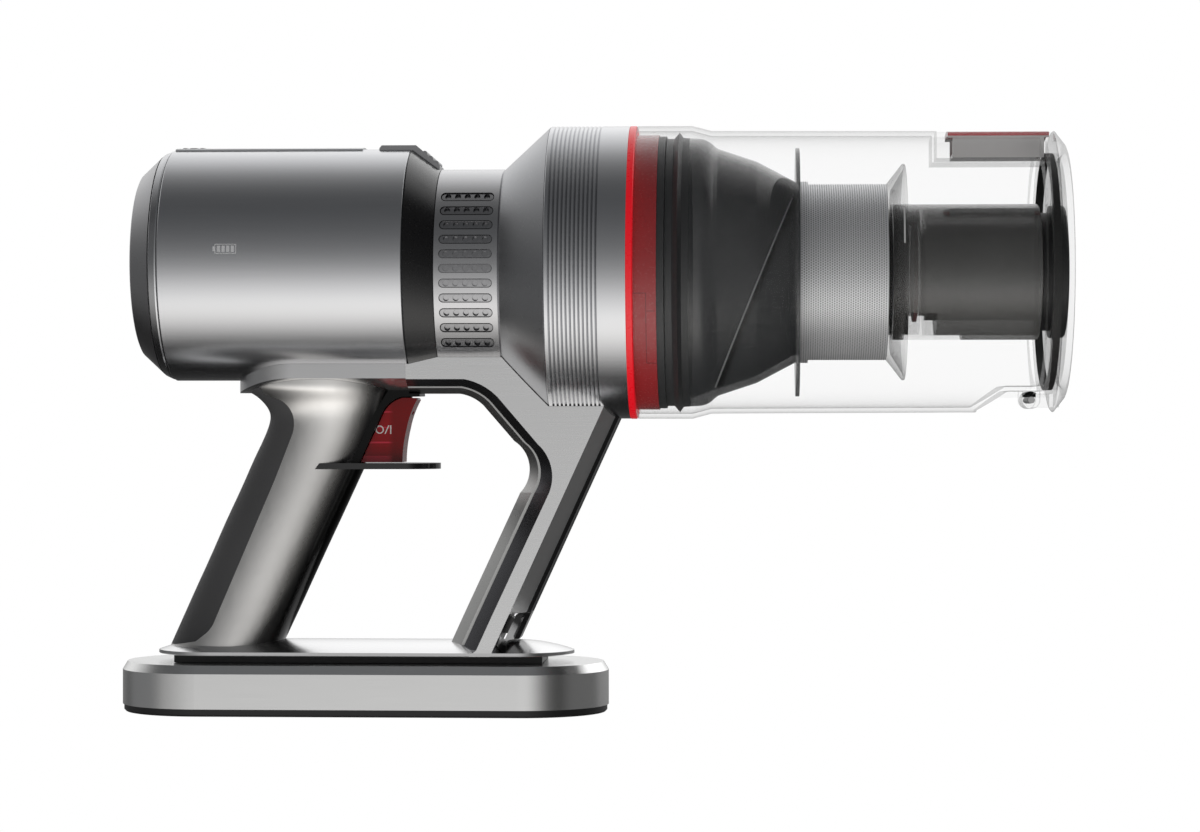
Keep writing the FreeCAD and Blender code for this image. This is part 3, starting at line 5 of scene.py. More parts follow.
import bpy
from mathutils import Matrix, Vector


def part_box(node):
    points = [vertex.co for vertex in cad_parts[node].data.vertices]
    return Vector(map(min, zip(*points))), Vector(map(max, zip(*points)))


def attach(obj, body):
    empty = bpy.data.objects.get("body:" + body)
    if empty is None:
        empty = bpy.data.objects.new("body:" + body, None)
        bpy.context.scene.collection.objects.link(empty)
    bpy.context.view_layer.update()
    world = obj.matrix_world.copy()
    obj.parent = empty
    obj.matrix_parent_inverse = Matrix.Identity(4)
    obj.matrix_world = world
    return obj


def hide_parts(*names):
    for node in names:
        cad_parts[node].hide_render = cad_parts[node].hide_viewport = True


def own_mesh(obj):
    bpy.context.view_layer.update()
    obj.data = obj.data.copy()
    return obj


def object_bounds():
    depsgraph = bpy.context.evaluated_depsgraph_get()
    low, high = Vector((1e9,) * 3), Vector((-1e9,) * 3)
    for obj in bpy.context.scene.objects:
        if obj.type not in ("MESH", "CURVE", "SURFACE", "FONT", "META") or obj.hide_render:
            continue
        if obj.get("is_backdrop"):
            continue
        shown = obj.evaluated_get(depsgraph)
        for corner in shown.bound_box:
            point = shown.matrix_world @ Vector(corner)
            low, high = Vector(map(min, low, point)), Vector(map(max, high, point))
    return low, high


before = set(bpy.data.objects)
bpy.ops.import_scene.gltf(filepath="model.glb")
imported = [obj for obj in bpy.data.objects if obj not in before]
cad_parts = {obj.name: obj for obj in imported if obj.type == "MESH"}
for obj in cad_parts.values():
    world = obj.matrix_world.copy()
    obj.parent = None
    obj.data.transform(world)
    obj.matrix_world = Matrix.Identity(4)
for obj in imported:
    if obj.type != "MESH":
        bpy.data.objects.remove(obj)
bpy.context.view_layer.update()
scene = bpy.context.scene
MM = 0.001

GUNMETAL = (0.56, 0.565, 0.58)
BLACK = (0.012, 0.012, 0.013)
RED = (0.70, 0.004, 0.018)
WHITE_INK = (0.86, 0.87, 0.89)
# a noise texture's values lie mostly between these two
NOISE_LOW, NOISE_HIGH = 0.3, 0.7


# ---------------------------------------------------------------- material kit

def by_identifier(sockets, identifier):
    """A Mix node's sockets share their names, so they are told apart by identifier."""
    return next(socket for socket in sockets if socket.identifier == identifier)


class Nodes:
    """Short calls for building one material's node tree around its Principled shader."""

    def __init__(self, name):
        self.material = bpy.data.materials.new(name)
        self.material.use_nodes = True
        self.tree = self.material.node_tree
        self.shader = self.tree.nodes["Principled BSDF"]
        source = self.tree.nodes.new("ShaderNodeTexCoord")
        self.place = source.outputs["Object"]
        self.normal = source.outputs["Normal"]

    def node(self, kind, **values):
        made = self.tree.nodes.new(kind)
        for key, value in values.items():
            setattr(made, key, value)
        return made

    def link(self, start, end):
        self.tree.links.new(start, end)

    def math(self, operation, first, second=None):
        made = self.node("ShaderNodeMath", operation=operation)
        for index, value in enumerate((first, second)):
            if value is None:
                continue
            if isinstance(value, (int, float)):
                made.inputs[index].default_value = value
            else:
                self.link(value, made.inputs[index])
        return made.outputs[0]

    def axes(self, letters):
        """The object-space coordinates named by letters, such as "xz"."""
        split = self.node("ShaderNodeSeparateXYZ")
        self.link(self.place, split.inputs[0])
        return [split.outputs["xyz".index(letter)] for letter in letters]

    def stretched(self, scale):
        mapping = self.node("ShaderNodeMapping")
        mapping.inputs["Scale"].default_value = scale
        self.link(self.place, mapping.inputs["Vector"])
        return mapping.outputs[0]

    def noise(self, scale, detail=3.0, stretch=None):
        made = self.node("ShaderNodeTexNoise")
        made.inputs["Scale"].default_value = scale
        made.inputs["Detail"].default_value = detail
        self.link(self.stretched(stretch) if stretch else self.place, made.inputs["Vector"])
        return made.outputs["Fac"]

    def ramp(self, factor, stops):
        made = self.node("ShaderNodeValToRGB")
        elements = made.color_ramp.elements
        while len(elements) < len(stops):
            elements.new(0.5)
        for element, (position, color) in zip(elements, stops):
            element.position = position
            element.color = (*color, 1.0) if len(color) == 3 else color
        self.link(factor, made.inputs["Fac"])
        return made.outputs["Color"]

    def between(self, factor, low, high, start=0.0, end=1.0):
        made = self.node("ShaderNodeMapRange")
        made.inputs["From Min"].default_value = start
        made.inputs["From Max"].default_value = end
        made.inputs["To Min"].default_value = low
        made.inputs["To Max"].default_value = high
        self.link(factor, made.inputs["Value"])
        return made.outputs["Result"]

    def eased(self, value, start, end):
        """0 to 1 as value goes smoothly from start to end."""
        made = self.node("ShaderNodeMapRange", interpolation_type="SMOOTHSTEP")
        made.inputs["From Min"].default_value = start
        made.inputs["From Max"].default_value = end
        self.link(value, made.inputs["Value"])
        return made.outputs["Result"]

    def within(self, value, low, high, soft=0.00008):
        """1 between two limits, with a narrow soft edge."""
        up = self.eased(value, low - soft, low + soft)
        down = self.eased(value, high + soft, high - soft)
        return self.math("MULTIPLY", up, down)

    def both(self, first, second):
        return self.math("MULTIPLY", first, second)

    def either(self, *masks):
        total = masks[0]
        for mask in masks[1:]:
            total = self.math("MAXIMUM", total, mask)
        return total

    def facing(self, axis):
        """How far the surface points along one of the object's own axes."""
        split = self.node("ShaderNodeSeparateXYZ")
        self.link(self.normal, split.inputs[0])
        return split.outputs[axis]

    def over(self, mask, color):
        """Paints a colour over the present base colour where mask is 1."""
        socket = self.shader.inputs["Base Color"]
        made = self.node("ShaderNodeMix", data_type="RGBA")
        self.link(mask, by_identifier(made.inputs, "Factor_Float"))
        self.link(socket.links[0].from_socket, by_identifier(made.inputs, "A_Color"))
        by_identifier(made.inputs, "B_Color").default_value = (*color, 1.0)
        self.link(by_identifier(made.outputs, "Result_Color"), socket)

    def shift(self, name, mask, value):
        """Moves a linked input, such as Roughness or Alpha, to value where mask is 1."""
        socket = self.shader.inputs[name]
        made = self.node("ShaderNodeMix", data_type="FLOAT")
        self.link(mask, by_identifier(made.inputs, "Factor_Float"))
        if socket.links:
            self.link(socket.links[0].from_socket, by_identifier(made.inputs, "A_Float"))
        else:
            by_identifier(made.inputs, "A_Float").default_value = socket.default_value
        by_identifier(made.inputs, "B_Float").default_value = value
        self.link(by_identifier(made.outputs, "Result_Float"), socket)

    def bump(self, height, strength, distance):
        made = self.node("ShaderNodeBump")
        made.inputs["Strength"].default_value = strength
        made.inputs["Distance"].default_value = distance
        self.link(height, made.inputs["Height"])
        self.link(made.outputs["Normal"], self.shader.inputs["Normal"])

    def mottled(self, factor, color, amount):
        """A base colour that is darker and lighter by a share, following a noise."""
        low = tuple(channel * (1 - amount) for channel in color)
        high = tuple(min(channel * (1 + amount), 1.0) for channel in color)
        self.link(self.ramp(factor, [(NOISE_LOW, low), (NOISE_HIGH, high)]), self.shader.inputs["Base Color"])

    def roughened(self, factor, low, high):
        """A roughness that goes from low to high with a noise."""
        self.link(self.between(factor, low, high, NOISE_LOW, NOISE_HIGH), self.shader.inputs["Roughness"])

    def set(self, **values):
        for key, value in values.items():
            name = key.replace("_", " ").title().replace("Ior", "IOR")
            self.shader.inputs[name].default_value = (*value, 1.0) if isinstance(value, tuple) else value


def metal(name, color, roughness, grain=(6, 260, 260), variation=0.02, bump=0.01):
    """Painted or brushed metal: fine streaks along X in its tone, roughness and relief."""
    kit = Nodes(name)
    streaks = kit.noise(6.0, 4.0, grain)
    cloud = kit.noise(14.0, 2.0)
    blend = kit.math("ADD", kit.math("MULTIPLY", streaks, 0.6), kit.math("MULTIPLY", cloud, 0.4))
    kit.mottled(blend, color, variation)
    kit.roughened(streaks, roughness * 0.9, roughness * 1.12)
    kit.set(metallic=1.0)
    kit.bump(streaks, bump, 0.0002)
    return kit


def plastic(name, color, roughness, grain=900.0, variation=0.08, bump=0.08, coat=0.0, specular=0.5):
    """Moulded plastic with a fine leather-like grain."""
    kit = Nodes(name)
    fine = kit.noise(grain, 2.0)
    cloud = kit.noise(20.0, 3.0)
    kit.mottled(cloud, color, variation)
    kit.roughened(fine, roughness * 0.85, roughness * 1.15)
    kit.set(coat_weight=coat, coat_roughness=0.04, specular_ior_level=specular)
    kit.bump(fine, bump, 0.00015)
    return kit


def see_through(name, color, facing, edge, shade=1.0):
    """Thin clear or smoky plastic: it lets most light straight through and thickens at grazing angles."""
    kit = Nodes(name)
    roughness = 0.04
    cloud = kit.noise(60.0, 2.0)
    kit.mottled(cloud, color, 0.04)
    weight = kit.node("ShaderNodeLayerWeight")
    weight.inputs["Blend"].default_value = 0.35
    curve = kit.math("POWER", weight.outputs["Facing"], shade)
    body = kit.between(curve, facing, edge)
    clouded = kit.between(cloud, 0.97, 1.03, NOISE_LOW, NOISE_HIGH)
    kit.link(kit.math("MULTIPLY", body, clouded), kit.shader.inputs["Alpha"])
    kit.roughened(cloud, roughness * 0.8, roughness * 1.2)
    kit.set(specular_ior_level=0.8)
    return kit


def mesh_material(name):
    """Perforated sheet steel: staggered round holes around the shroud's axis, drawn as darker grey spots,
    which is painted shade inside the holes.
    """
    kit = Nodes(name)
    x, y, z = kit.axes("xyz")
    height = kit.math("SUBTRACT", z, FRONT_Z)
    angle = kit.math("ARCTAN2", y, height)
    pitch = 1.1 * MM
    row_pitch = pitch * 0.87
    around = kit.math("MULTIPLY", angle, shroud_radius / pitch)
    along = kit.math("MULTIPLY", x, 1.0 / row_pitch)
    row = kit.math("FLOOR", along)
    shift = kit.math("MULTIPLY", kit.math("MODULO", row, 2.0), 0.5)
    across = kit.math("SUBTRACT", kit.math("FRACT", kit.math("ADD", around, shift)), 0.5)
    down = kit.math("SUBTRACT", kit.math("FRACT", along), 0.5)
    reach = kit.math("SQRT", kit.math("ADD", kit.math("MULTIPLY", across, across),
                                      kit.math("MULTIPLY", down, down)))
    hole = kit.between(reach, 1.0, 0.0, 0.26, 0.34)
    # painted shade: the holes are a darker grey than the sheet
    kit.link(kit.ramp(hole, [(0.0, (0.90, 0.91, 0.93)), (1.0, (0.42, 0.42, 0.43))]),
             kit.shader.inputs["Base Color"])
    kit.link(kit.between(hole, 0.30, 0.8), kit.shader.inputs["Roughness"])
    kit.set(metallic=0.35)
    kit.bump(kit.math("MULTIPLY", hole, -1.0), 0.5, 0.0004)
    return kit


def fabric(name, color, weave):
    """Filter fleece or foam."""
    kit = Nodes(name)
    fine = kit.noise(weave, 5.0)
    kit.mottled(fine, color, 0.2)
    kit.set(roughness=0.9, sheen_weight=0.2)
    kit.bump(fine, 0.4, 0.0006)
    return kit


def paint(kit, *names):
    """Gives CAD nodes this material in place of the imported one."""
    for name in names:
        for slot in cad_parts[name].material_slots:
            slot.material = kit.material


# ---------------------------------------------------------------- places read from the frame

def middle_of(node):
    low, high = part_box(node)
    return (low + high) / 2


def radius_of(node):
    low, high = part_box(node)
    return (high.y - low.y) / 2


REAR_Z = middle_of("barrel_shell").z
FRONT_Z = middle_of("neck_shell").z
barrel_radius = radius_of("barrel_shell")
shroud_radius = radius_of("mesh_shroud")


# ---------------------------------------------------------------- materials on the CAD nodes

strut_silver = metal("strut_silver", (0.97, 0.97, 0.97), 0.40)
silver = metal("satin_silver", (0.78, 0.78, 0.785), 0.24)
base_silver = metal("base_silver", (0.98, 0.98, 0.975), 0.22)
gunmetal = metal("gunmetal", GUNMETAL, 0.22)
barrel_metal = metal("barrel_metal", GUNMETAL, 0.22)
neck_metal = metal("neck_gunmetal", (0.50, 0.50, 0.51), 0.24)
grille_metal = metal("grille_gunmetal", (0.36, 0.36, 0.37), 0.26)
cap_metal = metal("cap_metal", (0.48, 0.48, 0.49), 0.30)
cone_metal = metal("cone_metal", (0.46, 0.465, 0.48), 0.30)
nose_metal = metal("nose_metal", (0.10, 0.10, 0.105), 0.30)
button_metal = metal("button_metal", (0.40, 0.40, 0.41), 0.28)
steel = metal("machined_steel", (0.62, 0.62, 0.62), 0.25, grain=(40, 40, 40))
gloss_black = plastic("gloss_black", BLACK, 0.12, bump=0.02, coat=0.6)
# painted shade: a near-black with little gloss for the block above the trigger, where the saddle's underside
# is in shade
shade_black = plastic("shade_black", (0.004, 0.004, 0.004), 0.30, bump=0.02, specular=0.2)
collar_black = plastic("collar_black", (0.016, 0.016, 0.017), 0.24, bump=0.03, coat=0.3, specular=0.9)
matte_black = plastic("matte_black", (0.02, 0.02, 0.021), 0.42)
tray_black = plastic("tray_black", (0.018, 0.018, 0.019), 0.36, bump=0.05)
soft_grey = plastic("soft_touch_grey", (0.085, 0.085, 0.088), 0.55, grain=1400.0, bump=0.15)
rubber = plastic("rubber", (0.02, 0.02, 0.02), 0.6)
trigger_red = plastic("trigger_red", (0.36, 0.0, 0.004), 0.22, coat=0.12, bump=0.02, specular=0.3)
flap_red = plastic("flap_red", (0.20, 0.004, 0.012), 0.35, bump=0.02)
latch_red = plastic("latch_red", RED, 0.16, coat=0.5, bump=0.02)
ring_red_painted_glow = plastic("ring_red_painted_glow", (1.0, 0.008, 0.02), 0.3, coat=0.1, bump=0.02)
# painted light: the red ring glows faintly, though it is no lamp
ring_red_painted_glow.set(emission_color=(1.0, 0.006, 0.02), emission_strength=0.28)
seat_red = plastic("seat_red", (0.50, 0.040, 0.045), 0.25, coat=0.3, bump=0.02)
seal_grey = plastic("seal_grey", (0.05, 0.052, 0.054), 0.4, bump=0.03)
clear = see_through("clear_bin", (0.10, 0.108, 0.108), 0.014, 0.95, shade=5.0)
smoky = see_through("smoky_cyclone", (0.060, 0.063, 0.066), 0.60, 0.93)
skirt_smoky = see_through("smoky_skirt", (0.035, 0.035, 0.036), 0.10, 0.97, shade=3.0)
door_clear = see_through("clear_door", (0.07, 0.075, 0.075), 0.05, 0.95, shade=3.6)
tube_dark = see_through("smoky_tube", (0.17, 0.17, 0.165), 0.55, 0.93, shade=1.6)
perforated = mesh_material("perforated_steel")
fleece = fabric("filter_fleece", (0.8, 0.8, 0.78), 700.0)
foam = fabric("filter_foam", (0.06, 0.06, 0.06), 900.0)
cells = plastic("cell_wrap", (0.05, 0.22, 0.10), 0.35)
board = plastic("circuit_board", (0.01, 0.08, 0.03), 0.4)


# ---------------------------------------------------------------- printed marks and two-tone parts

def battery_mark(kit):
    """A small charge gauge printed on both sides of the barrel: a rounded frame around four bars."""
    x, y, z = kit.axes("xyz")
    around = kit.math("ARCTAN2", kit.math("SUBTRACT", z, REAR_Z), kit.math("ABSOLUTE", y))
    up = kit.math("MULTIPLY", around, barrel_radius)
    height = kit.math("SUBTRACT", up, 4.6 * MM)
    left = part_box("barrel_shell")[0].x + 24.2 * MM
    length = 8.8 * MM
    half = 2.0 * MM
    line = 0.28 * MM
    tip_length = 0.8 * MM
    bar_start, bar_width, bar_pitch, bar_half = 1.0 * MM, 1.3 * MM, 1.9 * MM, 1.3 * MM
    outer = kit.both(kit.within(x, left, left + length), kit.within(height, -half, half))
    inner = kit.both(kit.within(x, left + line, left + length - line),
                     kit.within(height, line - half, half - line))
    frame_line = kit.math("MULTIPLY", outer, kit.math("SUBTRACT", 1.0, inner))
    tip = kit.both(kit.within(x, left - tip_length, left), kit.within(height, -half / 2, half / 2))
    bar_lows = [left + bar_start + bar_pitch * index for index in range(4)]
    bars = [kit.both(kit.within(x, low, low + bar_width), kit.within(height, -bar_half, bar_half))
            for low in bar_lows]
    mark = kit.either(frame_line, tip, *bars)
    kit.over(mark, WHITE_INK)
    kit.shift("Roughness", mark, 0.5)
    kit.shift("Metallic", mark, 0.0)


def trigger_marks(kit):
    """Lighter inner ribs seen through the red plastic, and a plain on/off sign on each side."""
    x, z = kit.axes("xz")
    side = kit.math("GREATER_THAN", kit.math("ABSOLUTE", kit.facing(1)), 0.7)
    back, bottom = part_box("trigger")[0].x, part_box("trigger")[0].z
    soft = 0.15 * MM
    rib_heights = ((21.1 * MM, 0.30 * MM), (14.6 * MM, 0.22 * MM), (8.3 * MM, 0.35 * MM))
    ribs = [kit.within(z, bottom + level - half, bottom + level + half, soft)
            for level, half in rib_heights]
    foot = kit.within(z, bottom - 0.2 * MM, bottom + 2.7 * MM, soft)
    kit.over(kit.both(side, kit.either(*ribs)), (0.80, 0.035, 0.075))
    kit.over(kit.both(side, foot), (0.70, 0.028, 0.055))
    kit.over(kit.both(side, kit.eased(x, back + 13 * MM, back + 16 * MM)), (0.24, 0.0, 0.0))
    ring_x, ring_z = back + 9.9 * MM, bottom + 13.7 * MM
    across = kit.math("SUBTRACT", x, ring_x)
    above = kit.math("SUBTRACT", z, ring_z)
    reach = kit.math("SQRT", kit.math("ADD", kit.both(across, across), kit.both(above, above)))
    ring_mark = kit.within(reach, 1.25 * MM, 1.75 * MM)
    half_height = 1.8 * MM
    tall = kit.within(z, ring_z - half_height, ring_z + half_height)
    bar = kit.both(kit.within(x, back + 14.3 * MM, back + 14.8 * MM), tall)
    leaning = kit.math("SUBTRACT", across, kit.math("MULTIPLY", above, 0.45))
    slash = kit.both(kit.within(leaning, 2.8 * MM, 3.3 * MM), tall)
    kit.over(kit.both(side, kit.either(ring_mark, bar, slash)), (0.88, 0.86, 0.84))


def groove_shadow(kit):
    """Painted shade: the grooves along the ring's inner trim are painted black, for the shade in them."""
    (y,) = kit.axes("y")
    kit.over(kit.math("GREATER_THAN", kit.math("ABSOLUTE", y), GROOVE_INNER), (0.012, 0.012, 0.012))


def slanted_edges(kit):
    """The frame's slanted edges, which don't face sideways, are dark grey."""
    flank = kit.math("ABSOLUTE", kit.facing(1))
    kit.over(kit.within(flank, -0.1, 0.90, 0.02), (0.115, 0.115, 0.125))


# half the distance between the grooves along the inner trim
GROOVE_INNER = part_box("frame_core")[1].y - 1.75 * MM
battery_mark(barrel_metal)
trigger_marks(trigger_red)
trim = metal("frame_trim", (0.62, 0.62, 0.61), 0.30)
groove_shadow(trim)
frame_silver = metal("frame_silver", (0.93, 0.93, 0.93), 0.26)
slanted_edges(frame_silver)

grip_silver = metal("grip_silver", (0.80, 0.79, 0.775), 0.34, grain=(40, 40, 10))
# painted reflection: the grip's metal is painted near-black where it turns forwards, for the dark it reflects
# there
front_dark_reflection = grip_silver.eased(grip_silver.facing(0), 0.30, 0.74)
grip_silver.over(front_dark_reflection, (0.030, 0.030, 0.030))
grip_silver.shift("Roughness", front_dark_reflection, 0.16)

def latch_tones(kit):
    """The latch is red along its top; the rest of the moulding is whitish."""
    (z,) = kit.axes("z")
    below = kit.eased(z, LATCH_TOP - 2.2 * MM, LATCH_TOP - 2.9 * MM)
    kit.over(below, (0.95, 0.93, 0.93))
    kit.shift("Alpha", below, 0.85)


def tube_window(kit):
    """The tube's lower part is clear below a stepped edge."""
    x, z = kit.axes("xz")
    soft = 0.15 * MM
    steps = [kit.both(kit.within(x, start, end, 0.1 * MM), kit.eased(z, level + soft, level - soft))
             for start, end, level in TUBE_STEPS]
    kit.shift("Alpha", kit.either(*steps), 0.16)


def vane_highlight_and_shadow(kit):
    """The edge of the helical vane down the cone's near side: a thin light line, which is a painted
    highlight, with a near-black strip beside it, which is a painted shadow.
    """
    x, y, z = kit.axes("xyz")
    start_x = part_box("cyclone_body")[0].x + 10.8 * MM
    start_z, end_z, slope = FRONT_Z - 48.4 * MM, FRONT_Z + 29.8 * MM, 0.407
    half_width, shadow_end = 0.35 * MM, 2.6 * MM
    run = kit.math("SUBTRACT", kit.math("SUBTRACT", x, start_x),
                   kit.math("MULTIPLY", kit.math("SUBTRACT", z, start_z), slope))
    near = kit.math("LESS_THAN", y, 0.0)
    reach = kit.both(near, kit.within(z, start_z, end_z, 0.5 * MM))
    line = kit.both(reach, kit.within(run, -half_width, half_width, 0.1 * MM))
    # painted highlight along the vane's edge
    kit.over(line, (0.42, 0.42, 0.42))
    shadow = kit.both(reach, kit.within(run, half_width, shadow_end, 0.6 * MM))
    # painted shadow beside the vane's edge
    kit.over(shadow, (0.012, 0.012, 0.012))


def bayonet_lines(kit):
    """The outline of the bayonet slot that holds the bin, on both sides of its seat."""
    x, z = kit.axes("xz")
    line = 0.22 * MM
    slot_low, slot_step, slot_high = FRONT_Z - 38.8 * MM, FRONT_Z - 18.0 * MM, FRONT_Z - 10.6 * MM
    rear, front, step_front = SEAT_LINE - 7 * MM, SEAT_LINE + 4.4 * MM, SEAT_LINE + 3.4 * MM
    lines = [kit.both(kit.within(x, start, end), kit.within(z, low, high)) for start, end, low, high in (
        (rear, SEAT_LINE, slot_high - line, slot_high),
        (SEAT_LINE - line, SEAT_LINE, slot_low, slot_high),
        (SEAT_LINE, front, slot_low, slot_low + line),
        (SEAT_LINE, step_front, slot_step, slot_step + line),
    )]
    kit.over(kit.either(*lines), (0.10, 0.006, 0.008))


def fill_line(kit):
    """The white line that marks how full the bin may be, on both of its sides."""
    x, z = kit.axes("xz")
    mark = kit.both(kit.within(x, SKIRT_FRONT - 2.5 * MM, SKIRT_FRONT - 1.9 * MM),
                    kit.within(z, FRONT_Z + 9.2 * MM, FRONT_Z + 24.3 * MM))
    kit.over(mark, (0.85, 0.85, 0.85))
    kit.shift("Alpha", mark, 0.85)


LATCH_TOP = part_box("door_latch")[1].z
SKIRT_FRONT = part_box("shroud_skirt")[1].x
latch_tones(latch_red)
# the clear part's steps: start and end along X, and the height that each is clear below
TUBE_STEPS = ((SKIRT_FRONT - 0.4 * MM, SKIRT_FRONT + 12.9 * MM, FRONT_Z - 17.7 * MM),
              (SKIRT_FRONT + 12.9 * MM, SKIRT_FRONT + 23.6 * MM, FRONT_Z - 26.2 * MM))
SEAT_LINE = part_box("bin_seat")[0].x + 8.2 * MM
tube_window(tube_dark)
vane_highlight_and_shadow(smoky)
bayonet_lines(seat_red)

fill_line(clear)

paint(barrel_metal, "barrel_shell")
paint(gunmetal, "ribbed_housing", "control_strip", "barrel_end_ring")
paint(neck_metal, "neck_shell")
paint(grille_metal, "neck_grille")
paint(cap_metal, "rear_cap")
paint(cone_metal, "front_cone")
paint(silver, "saddle", "foot_plate", "motor_can")
paint(strut_silver, "strut_cover")
paint(frame_silver, "frame_left", "frame_right")
paint(trim, "frame_core")
paint(grip_silver, "grip_left", "grip_right")
paint(base_silver, "battery_shell")
paint(nose_metal, "strut_nose")
paint(button_metal, "release_button")
paint(steel, "motor_stator", "motor_bearings", "trigger_pin", "trigger_spring", "release_spring",
      "motor_shaft", "rotor_magnet", "hinge_pin")
paint(gloss_black, "battery_latch", "mode_button")
# painted shade: the block above the trigger is near-black, standing in for the shade under the saddle
paint(shade_black, "trigger_housing")
paint(collar_black, "front_collar")
paint(matte_black, "diffuser", "trigger_switch", "spring_seat", "dock_block", "impeller",
      "filter_frame", "inlet_collar")
paint(tray_black, "battery_tray")
paint(gloss_black, "finger_shelf")
paint(skirt_smoky, "shroud_skirt")
paint(soft_grey, "grip_pad")
paint(rubber, "motor_mounts", "door_seal")
paint(seal_grey, "lip_seal")
paint(flap_red, "inlet_flap")
paint(latch_red, "door_latch")
paint(trigger_red, "trigger")
paint(ring_red_painted_glow, "red_ring")
paint(seat_red, "bin_seat")
paint(clear, "dust_bin")
paint(door_clear, "bin_door")
paint(smoky, "cyclone_body")
paint(tube_dark, "inlet_tube")
paint(perforated, "mesh_shroud")
paint(fleece, "filter_media")
paint(foam, "pre_filter")
paint(cells, "battery_cells")
paint(board, "control_board")


# ---------------------------------------------------------------- spring coils copied in place of the CAD's rigid ones

def working_spring(node):
    """A coil in the place of the CAD's rigid one, attached to the main body."""
    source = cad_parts[node]
    piece = bpy.data.objects.new(f"{node}_coil", source.data.copy())
    scene.collection.objects.link(piece)
    piece.data.materials.clear()
    piece.data.materials.append(steel.material)
    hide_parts(node)
    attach(piece, "main")
    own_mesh(piece)


working_spring("trigger_spring")
working_spring("release_spring")


# ---------------------------------------------------------------- studio

# light seen around the long axis: degrees up from the camera's side, brightness, warmth
BANDS = [
    (-180, 0.22, 0.0), (-168, 0.03, 0.0), (-122, 0.006, 0.0), (-100, 0.006, 0.0), (-84, 0.10, 0.01),
    (-66, 0.55, 0.02), (-48, 0.92, 0.02), (-32, 0.86, 0.01), (-8, 0.31, 0.0), (16, 0.135, -0.01),
    (48, 0.068, -0.03), (74, 0.066, -0.02), (98, 0.20, 0.0), (120, 0.58, 0.0), (150, 0.90, 0.0),
    (168, 0.60, 0.0), (180, 0.22, 0.0),
]
# how the bands fade towards the ends, by the direction's X, and the walls past them by its Z
ENDS_FRONT = [(-1.0, 0.30, 0.0), (-0.85, 0.36, 0.0), (-0.6, 0.60, 0.0), (-0.3, 0.80, 0.0), (0.0, 1.0, 0.0),
              (0.2, 1.0, 0.0), (0.42, 0.45, 0.0), (0.62, 0.07, 0.0), (1.0, 0.04, 0.0)]
ENDS_REAR = [(-1.0, 0.40, 0.0), (-0.6, 0.60, 0.0), (0.0, 1.0, 0.0), (0.6, 0.9, 0.0), (0.85, 1.0, 0.0),
             (1.0, 0.6, 0.0)]
WALL_LEFT = [(-1.0, 0.0, 0.0), (-0.5, 0.015, 0.0), (-0.28, 0.10, 0.0), (0.0, 0.070, -0.02),
             (0.3, 0.12, 0.0), (0.6, 0.30, 0.0), (1.0, 0.30, 0.0)]
WALL_RIGHT = [(-1.0, 0.0, 0.0), (-0.4, 0.05, 0.0), (0.0, 0.06, 0.0), (0.4, 0.10, 0.0), (1.0, 0.30, 0.0)]
STUDIO_STRENGTH = 1.75


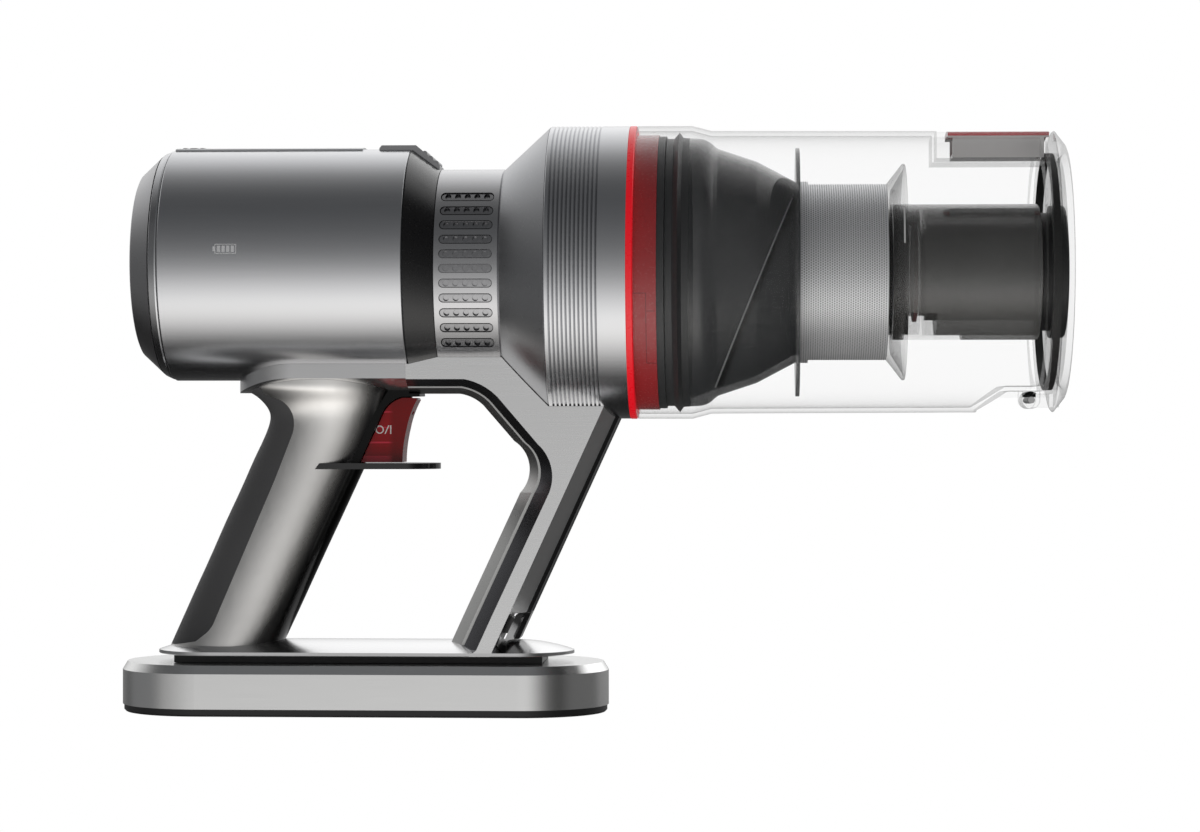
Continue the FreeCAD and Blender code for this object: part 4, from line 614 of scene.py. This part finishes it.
def studio_world():
    """A soft studio: bands of light along the vacuum's length, and darker walls past its two ends."""
    world = bpy.data.worlds.new("studio")
    world.use_nodes = True
    scene.world = world
    tree = world.node_tree
    tree.nodes.clear()

    def add(kind, **values):
        made = tree.nodes.new(kind)
        for key, value in values.items():
            setattr(made, key, value)
        return made

    def graded(source, stops, low, high):
        """A smooth curve over source: stops are (value, level, warmth)."""
        share = add("ShaderNodeMapRange")
        share.inputs["From Min"].default_value = low
        share.inputs["From Max"].default_value = high
        tree.links.new(source, share.inputs["Value"])
        ramp = add("ShaderNodeValToRGB")
        ramp.color_ramp.interpolation = "B_SPLINE"
        elements = ramp.color_ramp.elements
        while len(elements) < len(stops):
            elements.new(0.5)
        for element, (value, level, warmth) in zip(elements, stops):
            element.position = (value - low) / (high - low)
            element.color = (level * (1 + warmth), level, level * (1 - warmth * 1.5), 1)
        tree.links.new(share.outputs["Result"], ramp.inputs["Fac"])
        return ramp.outputs["Color"]

    def mixed(factor, first, second, mode="MIX"):
        made = add("ShaderNodeMix", data_type="RGBA", blend_type=mode)
        if factor is None:
            by_identifier(made.inputs, "Factor_Float").default_value = 1.0
        else:
            tree.links.new(factor, by_identifier(made.inputs, "Factor_Float"))
        tree.links.new(first, by_identifier(made.inputs, "A_Color"))
        tree.links.new(second, by_identifier(made.inputs, "B_Color"))
        return by_identifier(made.outputs, "Result_Color")

    def eased(source, start, end):
        made = add("ShaderNodeMapRange", interpolation_type="SMOOTHSTEP")
        made.inputs["From Min"].default_value = start
        made.inputs["From Max"].default_value = end
        tree.links.new(source, made.inputs["Value"])
        return made.outputs["Result"]

    place = add("ShaderNodeTexCoord")
    split = add("ShaderNodeSeparateXYZ")
    tree.links.new(place.outputs["Generated"], split.inputs[0])
    x, y, z = split.outputs
    toward = add("ShaderNodeMath", operation="MULTIPLY")
    toward.inputs[1].default_value = -1.0
    tree.links.new(y, toward.inputs[0])
    angle = add("ShaderNodeMath", operation="ARCTAN2")
    tree.links.new(z, angle.inputs[0])
    tree.links.new(toward.outputs[0], angle.inputs[1])
    degrees = add("ShaderNodeMath", operation="MULTIPLY")
    degrees.inputs[1].default_value = 180 / math.pi
    tree.links.new(angle.outputs[0], degrees.inputs[0])

    bands = graded(degrees.outputs[0], BANDS, -180, 180)
    front = mixed(None, bands, graded(x, ENDS_FRONT, -1, 1), "MULTIPLY")
    rear = mixed(None, bands, graded(x, ENDS_REAR, -1, 1), "MULTIPLY")
    room = mixed(eased(y, -0.15, 0.15), front, rear)
    sides = mixed(eased(x, -0.2, 0.2), graded(z, WALL_LEFT, -1, 1), graded(z, WALL_RIGHT, -1, 1))
    reach = add("ShaderNodeMath", operation="ABSOLUTE")
    tree.links.new(x, reach.inputs[0])
    light = mixed(eased(reach.outputs[0], 0.78, 0.97), room, sides)

    studio = add("ShaderNodeBackground")
    tree.links.new(light, studio.inputs["Color"])
    studio.inputs["Strength"].default_value = STUDIO_STRENGTH
    backdrop = add("ShaderNodeBackground")
    backdrop.inputs["Color"].default_value = (1, 1, 1, 1)
    path = add("ShaderNodeLightPath")
    choose = add("ShaderNodeMixShader")
    tree.links.new(path.outputs["Is Camera Ray"], choose.inputs["Fac"])
    tree.links.new(studio.outputs[0], choose.inputs[1])
    tree.links.new(backdrop.outputs[0], choose.inputs[2])
    out = add("ShaderNodeOutputWorld")
    tree.links.new(choose.outputs[0], out.inputs["Surface"])


def floor():
    """A plain pale floor, low enough under the base for the battery to come off downwards."""
    size = 12.0
    drop = 0.10
    mesh = bpy.data.meshes.new("floor")
    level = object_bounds()[0].z - drop
    mesh.from_pydata([(-size, -size, level), (size, -size, level), (size, size, level),
                      (-size, size, level)], [], [(0, 1, 2, 3)])
    sheet = bpy.data.objects.new("floor", mesh)
    scene.collection.objects.link(sheet)
    material = bpy.data.materials.new("pale_floor")
    material.use_nodes = True
    tree = material.node_tree
    tree.nodes.clear()
    glow = tree.nodes.new("ShaderNodeEmission")
    glow.inputs["Color"].default_value = (1, 1, 1, 1)
    out = tree.nodes.new("ShaderNodeOutputMaterial")
    tree.links.new(glow.outputs[0], out.inputs["Surface"])
    mesh.materials.append(material)
    sheet.visible_glossy = False
    sheet.visible_diffuse = False
    sheet.visible_transmission = False
    sheet.visible_shadow = False
    sheet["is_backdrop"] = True


def camera():
    """A long lens, level with the middle of the object and square to its side."""
    data = bpy.data.cameras.new("camera")
    data.lens = 96
    data.sensor_width = 36
    data.clip_end = 50
    made = bpy.data.objects.new("camera", data)
    scene.collection.objects.link(made)
    place = Vector((0.166, -1.344, 0.124))
    target = Vector((0.099, 0.0, 0.124))
    made.location = place
    made.rotation_euler = (target - place).to_track_quat("-Z", "Y").to_euler()
    scene.camera = made


floor()
camera()
studio_world()
scene.view_settings.view_transform = "Standard"

bpy.context.view_layer.update()
